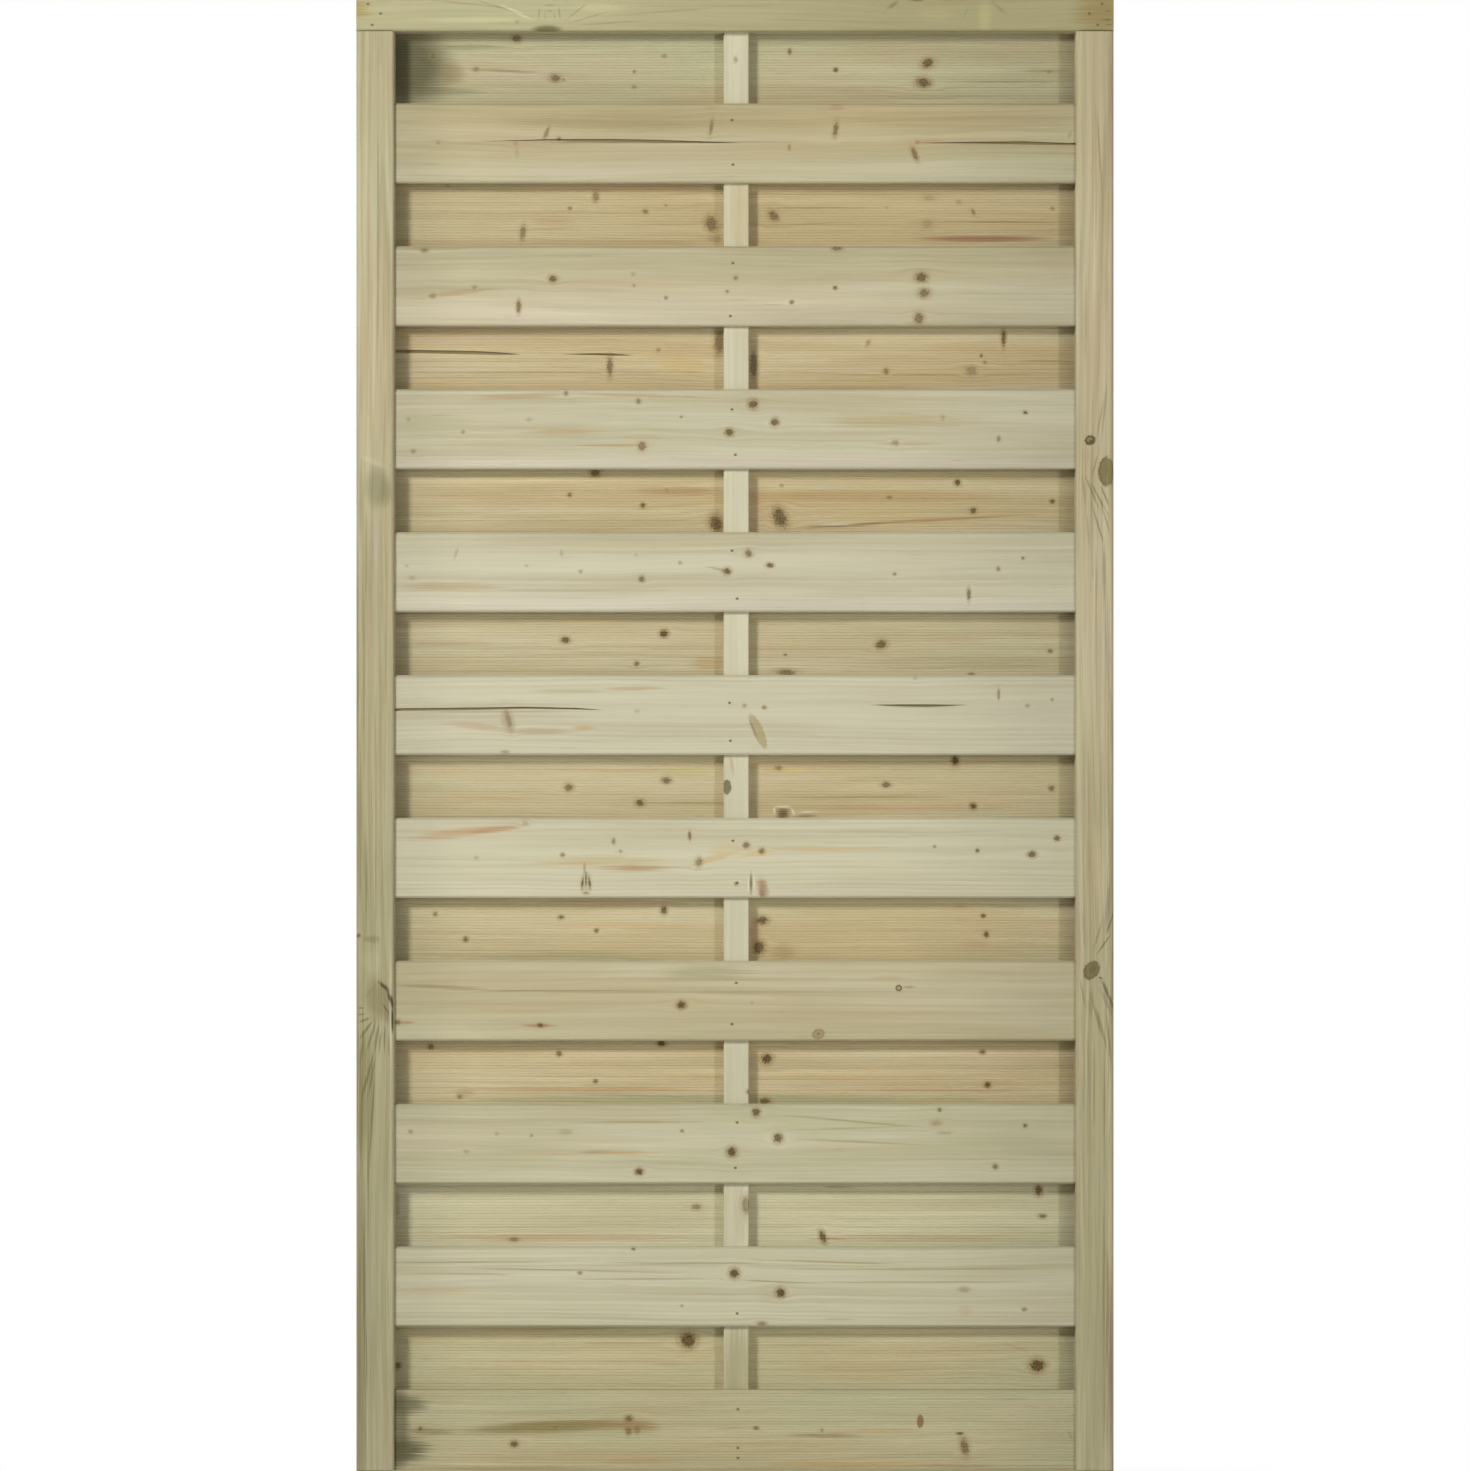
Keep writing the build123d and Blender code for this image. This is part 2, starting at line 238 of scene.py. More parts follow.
BOARDS["right_stile"] = Board(0.55, 0.9, 0.25, lines=1.7, marks=[
    wash(1098, 80, 40, 120, (178, 163, 126), 0.55), (1112, 145, 3.4, 110, (196, 164, 138), 0.6),
    wash(1096, 620, 30, 120, (208, 196, 162)), wash(1096, 330, 26, 110, (208, 192, 160), 0.35),
    # The long mark round y 1170 darkens the lower half of the stile: painted shade, the light falling off
    # towards the bottom
    wash(1098, 1430, 40, 110, (172, 166, 130), 0.35), (1095, 1170, 30, 420, (160, 155, 114), 0.45),
    (1111, 900, 4, 330, (142, 136, 94)), (1080, 170, 2.4, 130, (200, 184, 138), 0.6),
    (1091, 200, 2, 150, (212, 190, 146), 0.6), (1096, 180, 1.2, 120, (180, 156, 106), 0.6),
    (1100, 160, 1.4, 60, (160, 136, 88), 0.6, 0.06), (1110, 90, 3, 80, (166, 142, 110), 0.6),
    (1105, 250, 2, 110, (196, 176, 130)), (1086, 340, 1.4, 90, (174, 154, 108), 0.55),
    (1099, 340, 1.2, 70, (182, 156, 108), 0.6), (1082, 375, 2, 60, (214, 194, 154), 0.6),
    (1094, 350, 2.4, 80, (212, 188, 148)), (1104, 415, 1.4, 40, (150, 138, 92), 0.6, -0.1),
    (1100, 420, 1.2, 34, (158, 146, 100), 0.6, -0.2), spot(1090.2, 440.2, 6.6, 5.4, (92, 80, 46), 0.95, 0.3),
    spot(1089.6, 439.6, 3.4, 2.8, (150, 134, 90), 0.9, 0.3),
    spot(1090.8, 441.2, 1.6, 1.4, (86, 76, 44), 0.8, 0.3), (1086, 456, 8, 10, (186, 168, 142)),
    (1099, 449, 3, 6, (186, 170, 140), 0.6), spot(1106.4, 471.6, 9, 16.5, (110, 96, 60), 0.95),
    spot(1107, 471.4, 7.6, 14.8, (138, 126, 84), 0.95), (1107.5, 469, 3, 8, (122, 110, 72), 0.6),
    (1095, 465, 1.3, 16, (136, 122, 82), 0.6, -0.25), (1092, 492, 1.4, 24, (140, 128, 88), 0.75, 0.4),
    (1084, 490, 1.6, 22, (154, 142, 102), 0.6, 0.1), (1099, 498, 1.5, 24, (142, 130, 90), 0.75, 0.5),
    (1105, 496, 1.4, 14, (132, 120, 80), 0.75, 0.4), (1098, 525, 1.4, 26, (146, 132, 94), 0.7, 0.3),
    (1106, 520, 1.4, 24, (146, 132, 94), 0.6, 0.3), (1088, 530, 1.4, 30, (162, 148, 108), 0.5, 0.1),
    (1080, 530, 2, 34, (206, 190, 150), 0.6), (1104, 570, 2, 40, (148, 136, 98), 0.6),
    (1096, 575, 1.3, 40, (166, 146, 106)), (1096, 640, 2.4, 100, (182, 156, 116)),
    glow(1105, 700, 2, 120, 0.3), (1108, 640, 3.5, 60, (172, 156, 136)),
    (1082, 680, 2.6, 120, (196, 188, 148)), (1088, 800, 1.4, 90, (164, 154, 110)),
    (1101, 820, 1.6, 90, (164, 150, 106)), (1096, 740, 2, 90, (196, 182, 140)),
    (1108, 760, 1.6, 100, (156, 146, 102)), (1110.5, 922, 1.3, 20, (116, 106, 72), 0.75, -0.35),
    (1104, 944, 1.4, 14, (120, 110, 74), 0.75, -0.6), (1108, 905, 3, 34, (152, 138, 110), 0.6, -0.1),
    (1098, 935, 1.4, 20, (142, 132, 92), 0.6, -0.3), (1084, 930, 1.4, 30, (150, 142, 100), 0.6, 0.05),
    (1083, 995, 1.4, 20, (146, 136, 94), 0.6, 0.2), spot(1091.5, 970.2, 8.4, 11.4, (98, 88, 56), 0.95, -0.6),
    spot(1092, 969.8, 7, 9.9, (128, 118, 80), 0.95, -0.6),
    spot(1092.5, 969, 3.5, 5.2, (114, 104, 68), 0.6, -0.6), (1101, 978, 3, 1.2, (100, 90, 58), 0.9, -0.3),
    (1105.5, 989, 2.5, 14, (110, 100, 66), 0.8, 0.4), (1111, 1002, 2.3, 15, (114, 104, 70), 0.8, 0.4),
    (1107, 1003, 3, 20, (146, 130, 104), 0.6, 0.4), (1091, 1003, 5, 16, (150, 144, 102), 0.6, -0.1),
    (1097, 1018, 1.8, 26, (136, 126, 84), 0.7, 0.25), (1102, 1030, 1.8, 30, (134, 124, 82), 0.7, 0.25),
    (1109, 1040, 1.5, 40, (136, 120, 86), 0.7, 0.1), (1088, 1060, 1.3, 50, (150, 142, 98)),
    (1094, 1090, 1.3, 60, (140, 132, 88)), (1101, 1090, 3, 80, (184, 176, 128)),
    (1104.5, 1110, 1.2, 80, (134, 122, 80), 0.65), wash(1090, 1330, 14, 160, (174, 168, 130), 0.55),
    (1087, 1320, 9, 150, (178, 173, 134), 0.4), (1101, 1240, 1.6, 90, (188, 182, 132)),
    (1104, 1300, 1.2, 170, (136, 122, 78), 0.6), (1108, 1330, 2.4, 160, (146, 122, 94), 0.7),
    (1111, 1380, 2.4, 130, (130, 112, 84), 0.7)])
BOARDS["centre_batten"] = Board(0.05, 1.01, 0.15, lines=0.5, knots=[
    (735.6, 59.7, 2.2, 3.5, SOFT), (746.5, 1205, 5, 9, CLEAR), (748, 1092, 2, 2.5, CLEAR)], marks=[
    (738, 1372, 30, 70, (170, 162, 122), 0.8), (738, 1080, 30, 110, (186, 180, 148), 0.3),
    (738, 214, 16, 60, HONEY), spot(727, 787, 5, 8.5, (116, 105, 74), 0.9),
    (732, 765, 3, 14, (182, 168, 126), 0.6, 0.2), line(741, 1215, 8, 40, 0.25)])
BOARDS["front_slat_01"] = Board(0.75, 0.89, 0.45, knots=[
    (546.5, 133, 2.2, 7, CLEAR, -0.4), (559, 139, 2.2, 2, STRONG), (438.3, 142.5, 2.5, 2, FAINT),
    (515.4, 143.5, 2.5, 2.5, FAINT), (711.2, 126.9, 1.8, 8, CLEAR, -0.15),
    (835.7, 129.4, 2.6, 7.5, STRONG, -0.15), (914.6, 153.5, 2.8, 7.5, STRONG, 0.4),
    (917, 142.4, 2.2, 1.8, SOFT), (789.2, 147.3, 1.6, 3, SOFT), (1070, 134, 1.6, 4, FAINT, -0.4)], marks=[
    line(610, 120, 140, 16, 0.3), line(960, 122, 150, 14, 0.3), wash(735, 108, 460, 18, (180, 162, 116)),
    wash(910, 140, 150, 30, (196, 172, 124), 0.25), wash(735, 176, 460, 20, (214, 206, 172)),
    # The two long thin dark lines near y 142 are painted shade along the shakes
    (837, 107.5, 10, 5, RED, 0.35), glow(710, 108, 8, 4, 0.4), (660, 142, 190, 1.6, SPLIT_SHADE_AND_STAIN),
    (1000, 143, 90, 1.8, SPLIT_SHADE_AND_STAIN), glow(930, 142, 22, 3, 0.6), line(517, 153, 3, 8, 0.3),
    (960, 168, 160, 9, CREAM, 0.3), (560, 170, 180, 8, CREAM, 0.35)])
BOARDS["front_slat_02"] = Board(0.4, 0.91, 0.2, knots=[
    (424.6, 250.4, 4.5, 2.6, CLEAR), (552.7, 279, 4.5, 3.6, DEEP), (474.4, 287.3, 2.2, 2, SOFT),
    (432.6, 296, 3.2, 3, SOFT), (518.7, 306.7, 2.6, 6.5, STRONG), (633, 274.3, 2.2, 2, FAINT),
    (634, 285.5, 1.5, 1.5, SOFT), (665.9, 297.7, 1.8, 2, CLEAR), (735.6, 278, 2.4, 2.2, CLEAR),
    (727.2, 291.5, 1.8, 1.6, CLEAR), (837, 248.5, 5.5, 2.6, STRONG), (921.5, 277.3, 6.5, 5, DEEP),
    (924, 293, 6, 5, STRONG), (919, 318.4, 5, 6, STRONG), (835.2, 287.8, 2.2, 2, DEEP),
    (791.7, 302.2, 2.2, 2.2, STRONG)], marks=[
    wash(735, 254, 460, 18, (180, 170, 130)), wash(560, 312, 300, 22, (220, 208, 176), 0.55, 0.03),
    wash(930, 316, 220, 16, (210, 200, 168), 0.4), glow(455, 293, 58, 4, 0.6, 0.12),
    line(432, 249, 60, 2, 0.45), glow(610, 285, 130, 7, 0.2), (514, 317, 16, 8, PINK, 0.4),
    (590, 312, 190, 11, CREAM, 0.3), line(840, 254, 220, 5, 0.15), line(900, 323, 170, 3, 0.15)])
BOARDS["front_slat_03"] = Board(0.15, 0.94, 0.25, knots=[
    (565.9, 393.5, 2.4, 2.4, CLEAR), (408.5, 419.1, 2.2, 2.2, FAINT), (463.2, 431.5, 2.4, 2.2, SOFT),
    (529, 419.6, 3, 2, FAINT), (638.6, 401.2, 2.6, 2.6, CLEAR), (681.3, 416.9, 1.4, 1.3, CLEAR),
    (642.3, 446.5, 4.6, 5.5, SOFT), (729.4, 432.3, 4.4, 4, DEEP), (413.4, 451.4, 2.4, 2.2, SOFT),
    (753.1, 404.2, 5, 5, DEEP), (774.8, 422.1, 4.2, 4, DEEP), (1025.3, 412.6, 2.2, 1.7, BLACK),
    (998.7, 439, 2, 3, CLEAR), (895.4, 442.7, 4, 3, SOFT), (942.7, 417.9, 2, 4, FAINT)], marks=[
    glow(520, 396, 70, 4, 0.6, 0.05), glow(630, 395, 90, 2.4, 0.7, -0.03),
    (890, 419, 75, 8, (188, 172, 126), 0.55), spot(642, 446, 4, 4.6, (158, 112, 78), 0.7),
    glow(565, 431.5, 55, 4), glow(612, 445.3, 48, 1.8, 0.7), glow(645, 437.8, 36, 1.4),
    (905, 420.5, 120, 9, (190, 174, 130), 0.4), glow(910, 443.5, 42, 2.4, 0.6), line(750, 400, 360, 4, 0.12),
    wash(735, 463, 460, 9, (212, 200, 180)), (430, 427, 60, 16, GREENISH, 0.4)])
BOARDS["front_slat_04"] = Board(0.0, 0.98, 0.05, lines=0.75, knots=[
    (456.2, 553, 1.5, 5.5, FAINT, -0.3), (561.4, 553.2, 1.8, 3, FAINT), (526.6, 565.8, 1.7, 1.6, FAINT),
    (580.6, 571.5, 2, 2, SOFT), (406.7, 565.8, 2, 1.6, FAINT), (636, 554.6, 1.8, 1.6, FAINT),
    (680, 562.8, 1.7, 1.8, SOFT), (641.8, 579, 3, 3, STRONG), (412.2, 577.8, 3, 2, FAINT),
    (726.9, 571.5, 4.2, 3.5, DEEP), (748.7, 553.4, 4, 4, STRONG), (769.8, 565.3, 4, 2.6, DEEP),
    (894.7, 574, 1.8, 1.7, CLEAR), (1023, 558.1, 1.8, 1.7, STRONG), (998.2, 569, 1.8, 2.4, CLEAR),
    (968.8, 594.4, 2, 6.5, STRONG)], marks=[
    glow(452, 587, 64, 6, 0.55), line(560, 590, 120, 2, 0.3), line(718, 569, 14, 1.8, 0.5, -0.2),
    wash(760, 539, 440, 8, (184, 176, 136), 0.45), wash(735, 604, 460, 10, (212, 202, 182)),
    line(900, 595, 150, 4, 0.15)])
BOARDS["front_slat_05"] = Board(0.0, 0.96, 0.0, lines=0.75, knots=[
    (508.5, 720, 2.6, 10, SOFT, 0.25), (505.5, 751.8, 4, 2, SOFT), (637.3, 711.3, 3, 2, FAINT),
    (744.2, 705.6, 2.2, 2, SOFT), (764.3, 707.4, 2.2, 2, CLEAR), (998.7, 694, 1.4, 6, CLEAR),
    (1027.3, 705.6, 2.2, 2, SOFT), (1052, 699.7, 2, 1.8, SOFT), (915.3, 677.8, 2, 1.8, FAINT)], marks=[
    (478, 726.5, 42, 5.5, (192, 166, 132), 0.6, -0.12), (538, 731.5, 46, 4.5, (178, 154, 112), 0.6),
    (583, 728, 17, 3.6, (206, 174, 122), 0.75), wash(508, 722, 7, 11, (168, 150, 112), 0.5, 0.3),
    (635, 688.5, 38, 3, (198, 170, 130), 0.7, 0.03), (570, 691, 50, 3, (182, 176, 124)),
    # The two thin dark lines near y 710 are painted shade along the shakes
    (498, 711.5, 110, 2, SPLIT_SHADE_AND_STAIN, 0.3), (918, 706.5, 52, 2, SPLIT_SHADE_AND_STAIN, 0.35),
    spot(758, 731, 6.2, 21, (172, 156, 112), 0.75, 0.42), (753.5, 729, 1.2, 13, (140, 122, 78), 0.6, 0.42),
    (765, 745, 2.4, 6, (186, 166, 126), 0.7)])
BOARDS["front_slat_06"] = Board(0.0, 1.03, 0.2, lines=0.75, knots=[
    (525.4, 823.2, 3, 2.6, FAINT), (613.7, 841.1, 2, 3.2, CLEAR), (689.6, 835.7, 1.8, 4.4, STRONG),
    (562.7, 855, 2.3, 2.2, CLEAR), (620.6, 851, 2, 1.8, SOFT), (476.4, 858, 2.4, 2, FAINT),
    (699, 862.3, 3.6, 5, CLEAR), (736.3, 883.7, 2, 2, CLEAR), (746.2, 845.1, 3.4, 3.2, STRONG),
    (761.6, 851, 3.2, 3, STRONG), (934.7, 846.6, 1.5, 1.5, CLEAR), (977.5, 850.6, 2, 2, DEEP),
    (1032.2, 854.3, 4.5, 3.4, DEEP), (1057.1, 838.4, 3, 2.8, DEEP)], marks=[
    (466, 832, 70, 6, (190, 160, 118), 0.75, 0.11), (498, 829, 34, 4, (178, 146, 104), 0.6, 0.11),
    (610, 861, 80, 6, (194, 180, 136), 0.75), glow(560, 864, 60, 2.4, 0.4),
    (638, 868, 46, 5, (174, 144, 98), 0.8), (712, 859, 32, 4.5, (196, 170, 120), 0.6, 0.27),
    (758, 853, 30, 4.5, (204, 184, 130), 0.7, 0.16), (728, 850, 26, 8, (204, 184, 136), 0.5, 0.1),
    (825, 849, 70, 4.5, (200, 178, 128), 0.6), wash(586, 883, 6, 11, (168, 154, 112), 0.55),
    (582.4, 883, 1.7, 10, (94, 84, 50), 0.9, -0.12), (589.6, 883, 1.7, 10, (94, 84, 50), 0.9, 0.12),
    (586, 879, 1.5, 10, (98, 86, 52), 0.85), (586, 893, 5, 1.9, (110, 98, 62), 0.85),
    (584.5, 868, 2, 7, (150, 130, 90), 0.6), (751, 884, 2, 15, (118, 104, 70), 0.85),
    (748.2, 885, 1, 11, CREAM, 0.9), (754, 882, 1, 12, CREAM, 0.7),
    (763, 889, 7.5, 14, (156, 128, 90), 0.85, 0.25), (762, 893, 4, 6, (112, 84, 50), 0.9),
    line(890, 832, 180, 2, 0.2), (760, 892, 340, 5, PINK, 0.3)])
BOARDS["front_slat_07"] = Board(0.55, 0.94, 0.3, lines=0.7, knots=[
    (681.6, 1005, 4.8, 4, BLACK), (540.3, 1025.4, 3.8, 2.2, DEEP), (397.5, 1022.2, 3.2, 2.8, STRONG),
    (752, 1003, 1.6, 1.3, FAINT)], marks=[
    (440, 987, 62, 3, (158, 142, 100), 0.65, -0.05), (560, 990.5, 120, 1.1, (148, 134, 96), 0.6),
    (538, 1025.6, 26, 2.6, RED, 0.7), (404, 1022.5, 14, 2, RED, 0.65), glow(888, 978, 26, 3, 0.4),
    (706, 972, 60, 9, (164, 158, 116)), (690, 1004, 40, 7, (196, 178, 128), 0.4),
    spot(898.8, 988, 3.8, 3.8, (112, 94, 62), 0.9), spot(898.8, 988, 2, 2, (178, 160, 122), 0.9),
    (909, 987, 9, 1.6, (150, 128, 90), 0.6), spot(818.5, 1034, 7.5, 5.8, (146, 128, 90), 0.75, 0.3),
    spot(818.5, 1034, 4.6, 3.4, (178, 162, 124), 0.7, 0.3),
    spot(818.5, 1034, 2.2, 1.6, (134, 116, 78), 0.8, 0.3), glow(520, 1006, 140, 8, 0.15),
    line(690, 980, 90, 3, 0.25), glow(900, 1015, 200, 7, 0.15), line(720, 992, 300, 1.2, 0.3)])
BOARDS["front_slat_08"] = Board(0.25, 0.96, 0.55, knots=[
    (410.4, 1131.6, 2.4, 2, SOFT), (496.8, 1133.6, 2, 1.6, FAINT), (531.6, 1135.4, 1.8, 1.8, SOFT),
    (682, 1130.9, 2, 1.8, CLEAR), (466.2, 1151.5, 2.8, 2.4, FAINT), (731.8, 1152, 5, 5, BLACK),
    (639.3, 1171.7, 4, 3.5, BLACK), (756.1, 1112.2, 4.2, 4.6, DEEP), (778, 1138.1, 4.8, 4.8, DEEP),
    (939.7, 1109.8, 2, 2, STRONG), (1025.3, 1125.4, 2.2, 2.2, DEEP), (995.4, 1166.7, 3, 2.8, STRONG),
    (945, 1133, 8, 1.6, FAINT), (936.5, 1122.9, 5, 3.4, FAINT)], marks=[
    glow(570, 1152, 100, 4, 0.35), (600, 1152, 26, 3, (160, 142, 100), 0.6),
    (626, 1153, 38, 3.4, (198, 168, 120), 0.75, -0.02), line(566, 1132, 10, 4, 0.4),
    wash(779, 1139, 15, 8, (208, 204, 174)), glow(937, 1123, 9, 5, 0.3), line(640, 1122, 90, 1.2),
    line(850, 1121, 90, 1.3, 0.5, -0.09), line(860, 1128, 90, 1.2, 0.4, 0.03), glow(870, 1150, 130, 3.5, 0.2),
    line(860, 1142, 90, 1.2, 0.45, -0.05), wash(735, 1174, 440, 10, (206, 202, 170), 0.45)])
BOARDS["front_slat_09"] = Board(0.0, 0.98, 0.3, knots=[
    (580, 1272.7, 2.4, 2, CLEAR), (734.5, 1273.2, 5, 5, BLACK), (780.5, 1292.6, 5, 4.8, BLACK),
    (633.6, 1249, 2.2, 1.6, STRONG), (682, 1305.8, 1.5, 1.4, SOFT), (1024.3, 1309.3, 3, 2, CLEAR),
    (761.8, 1323.5, 5, 2.6, CLEAR), (963.8, 1290, 5, 2.6, FAINT)], marks=[
    glow(965, 1311, 10, 8, 0.35), glow(964, 1289, 9, 5, 0.3), line(470, 1262, 90, 1.3, 0.6),
    line(560, 1270, 130, 1.2, 0.5, -0.02), line(690, 1263, 90, 1.4, 0.6), line(470, 1274, 60, 1.3),
    line(640, 1279, 100, 1.3), (440, 1292, 60, 6, HONEY), line(830, 1262, 90, 1.5, 0.6, -0.03),
    line(900, 1269, 150, 1.3), line(920, 1282, 170, 1.2), line(780, 1282, 50, 1.3, 0.6, -0.05),
    line(770, 1295, 18, 12, 0.15), line(840, 1319, 24, 2, 0.3)])
BOARDS["front_slat_10"] = Board(0.75, 0.93, 0.55, knots=[
    (555.2, 1427.4, 4, 2.4, FAINT), (629, 1418.7, 4.2, 3.6, STRONG), (628.6, 1431.2, 3.2, 4.4, CLEAR),
    (637.3, 1430, 3.4, 4.6, SOFT), (514.2, 1444, 4.2, 3.6, DEEP), (420.4, 1429, 2.4, 2.2, STRONG),
    (964.6, 1446.8, 4.6, 8.6, STRONG, 0.2), (960, 1433.6, 3.5, 1.6, DEEP), (822, 1430, 1.6, 2, SOFT),
    (756, 1428, 3, 1.8, STRONG), (1070.8, 1436, 1.8, 5, FAINT, 0.5)], marks=[
    # The first three marks darken the bottom left corner: painted shadow, with some stain
    (404, 1405, 30, 13, CORNER_SHADOW_AND_STAIN, 0.7), (402, 1451, 34, 18, CORNER_SHADOW_AND_STAIN, 0.85), wash(397, 1428, 12, 46, CORNER_SHADOW_AND_STAIN, 0.7),
    (428, 1432, 32, 5, (132, 118, 78)), line(500, 1430, 36, 4), line(560, 1426, 80, 7, 0.85, 0.03),
    (613, 1425, 48, 8, (168, 139, 95), 0.7), wash(545, 1427.5, 75, 6, OLIVE, 0.7, 0.03),
    (640, 1426, 26, 9, (160, 132, 86), 0.6), glow(880, 1431, 80, 3.4, 0.45, 0.02),
    (825, 1435.5, 46, 3.6, (154, 140, 90), 0.6), line(735, 1428, 24, 1.2),
    (850, 1465, 110, 4, (190, 162, 108), 0.6), (960, 1466, 60, 3, RED, 0.35),
    spot(920.3, 1421.4, 3.9, 7.6, (134, 106, 66), 0.85), (640, 1461, 50, 4, RED, 0.25),
    line(500, 1468, 110, 3), line(940, 1399, 140, 1.4, 0.4)])
BOARDS["back_slat_01"] = Board(0.65, 0.89, 0.6, knots=[
    (516.7, 38.6, 5.2, 4, STRONG), (476.1, 69.2, 3.2, 2.6, SOFT), (555.5, 78.2, 5.2, 4, STRONG),
    (563.4, 79.6, 1.6, 1.8, SOFT), (634.3, 71.6, 1.8, 1.8, CLEAR), (634, 87, 2.4, 2, SOFT),
    (664.4, 55.7, 2.6, 2.2, SOFT), (433, 56, 3, 3.6, SOFT), (789.7, 51.5, 2, 3, STRONG),
    (835.7, 69.9, 2.6, 2.2, DEEP), (927.8, 62.7, 6.5, 5, DEEP, 0.3), (923.5, 82.6, 7.8, 5.2, DEEP, -0.1),
    (1048.9, 72.1, 2.2, 2.4, FAINT)], marks=[
    # The first two marks darken the top left corner: painted shadow, with some stain
    wash(406, 66, 42, 38, CORNER_SHADOW_AND_STAIN, 0.85), (440, 92, 50, 6, CORNER_SHADOW_AND_STAIN, 0.35), (452, 74, 18, 16, (146, 124, 80), 0.45),
    (470, 47, 50, 4, (140, 142, 108)), (506, 71, 50, 2.2, (160, 134, 92), 0.6, -0.06),
    (520, 77, 60, 6, PINK, 0.4), line(1045, 71, 30, 2.4), line(1010, 81.5, 65, 1.4),
    line(870, 97, 190, 3, 0.25)])
BOARDS["back_slat_02"] = Board(1.0, 0.95, 0.1, knots=[
    (595.8, 196.8, 3.6, 5, CLEAR), (570.1, 208.5, 2.2, 2.2, CLEAR), (645.3, 211.4, 3, 2.6, CLEAR),
    (665.9, 205.5, 1.7, 1.6, SOFT), (522.9, 232.6, 3.2, 8, CLEAR, -0.15), (711.2, 223.9, 6, 9, STRONG, 0.2),
    (716, 239, 6.5, 4, FAINT), (447, 185.5, 2.6, 2, FAINT), (773.5, 215.9, 5, 6.5, STRONG, 0.6),
    (958.4, 202, 2.7, 2.4, FAINT), (973.3, 211.9, 1.8, 3.4, CLEAR, 0.5), (886.8, 207.6, 1.5, 1.4, FAINT),
    (1052.6, 208.5, 2.4, 2.2, SOFT), (929, 197.8, 6, 3.4, FAINT), (927.3, 223.9, 6, 4.6, FAINT)], marks=[
    wash(500, 214, 150, 34, (202, 190, 150), 0.55), (552, 222, 28, 7, RED, 0.2),
    glow(545, 229, 50, 1.6, 0.6, 0.04), wash(984, 238.8, 60, 3, (152, 106, 76), 0.75),
    line(995, 222.1, 82, 1.2, 0.7), glow(590, 190.3, 160, 1.3, 0.6), glow(575, 212.7, 150, 1.3, 0.6),
    line(820, 208, 70, 1.2, 0.6), line(860, 194, 210, 1.2, 0.4), line(640, 241, 190, 4, 0.2),
    line(800, 224, 60, 1.3, 0.4, 0.04)])
BOARDS["back_slat_03"] = Board(0.8, 0.99, 0.05, knots=[
    (610, 367, 3.2, 10, STRONG), (658.5, 350, 2.4, 2.2, SOFT), (719.4, 342, 5.5, 13, CLEAR),
    # The knot just right of the batten is partly painted shadow of the batten
    (753.6, 364.4, 4, 14, STRONG), (868, 343.2, 2.2, 4, SOFT, -0.4), (886.2, 371.1, 2.6, 3.6, CLEAR),
    (971.3, 370.6, 5.5, 4.6, SOFT), (981.2, 355.7, 1.9, 1.8, STRONG), (985, 362.4, 1.8, 1.7, SOFT),
    (1003.6, 338.3, 2.6, 9, DEEP)], marks=[
    # The first two thin dark lines are painted shade along the shakes
    (430, 351.8, 92, 2.2, SPLIT_SHADE_AND_STAIN, 0.5, -0.02), (600, 354, 42, 1.6, SPLIT_SHADE_AND_STAIN, 0.4),
    (682, 365, 36, 14, (206, 180, 120)), (720, 346, 7, 15, (150, 116, 74)), glow(690, 352, 60, 14, 0.3),
    line(560, 371.8, 165, 1.2), line(1046, 361, 34, 1.2, 0.6), line(915, 374.3, 160, 1.2),
    glow(880, 362, 120, 12, 0.25), line(860, 388, 130, 1.8), (470, 340, 90, 6, PINK, 0.3)])
BOARDS["back_slat_04"] = Board(0.85, 1.01, 0.2, knots=[
    (595, 472.6, 5.4, 4, DEEP), (569.7, 495, 2.4, 2.2, STRONG), (643, 505.4, 2.7, 2.7, DEEP),
    (666.7, 490.4, 2, 1.8, FAINT), (716, 523.5, 7, 9.5, DEEP, 0.3), (781.7, 485.5, 2.2, 2, SOFT),
    (779.8, 517.3, 7, 11.5, DEEP, 0.4), (889.2, 497.4, 2.6, 1.8, CLEAR), (957.6, 482.5, 3.5, 3.2, BLACK),
    (973.3, 510.6, 3.5, 3.2, DEEP), (1052.1, 501.6, 2.7, 2.4, DEEP)], marks=[
    wash(560, 494.5, 150, 8, (186, 160, 120), 0.45, 0.01), (680, 491, 60, 6, (168, 136, 90), 0.6),
    wash(865, 496, 130, 6.5, (178, 148, 102), 0.65), (850, 525, 65, 2.4, (140, 110, 66), 0.65, 0.06),
    (950, 519, 90, 2.2, (150, 120, 76), 0.6, 0.05), (838, 524, 24, 1.6, (208, 206, 184), 0.8, 0.03),
    (560, 480, 160, 4, (214, 186, 140), 0.4), line(590, 522, 190, 8, 0.2), (760, 505, 12, 28, RED, 0.25)])
BOARDS["back_slat_05"] = Board(0.6, 0.97, 0.25, knots=[
    (565.2, 640, 4.8, 3.5, DEEP), (663.9, 633.5, 4.6, 3.7, BLACK), (636.6, 663.6, 2.8, 2.6, STRONG),
    (881.2, 644.4, 6, 4.8, DEEP, 0.3), (786, 672.5, 10, 3.4, STRONG), (785.2, 654.9, 1.8, 1.6, CLEAR),
    (1050.4, 650.9, 2.6, 2.2, STRONG), (971.3, 674.2, 4, 1.8, CLEAR)], marks=[
    (710, 664, 24, 10, (180, 154, 98), 0.6), (960, 640, 40, 6, RED, 0.15), glow(450, 643, 60, 3, 0.3),
    glow(640, 652, 110, 3, 0.2), line(560, 671, 180, 4, 0.25), line(960, 664, 150, 8, 0.2)])
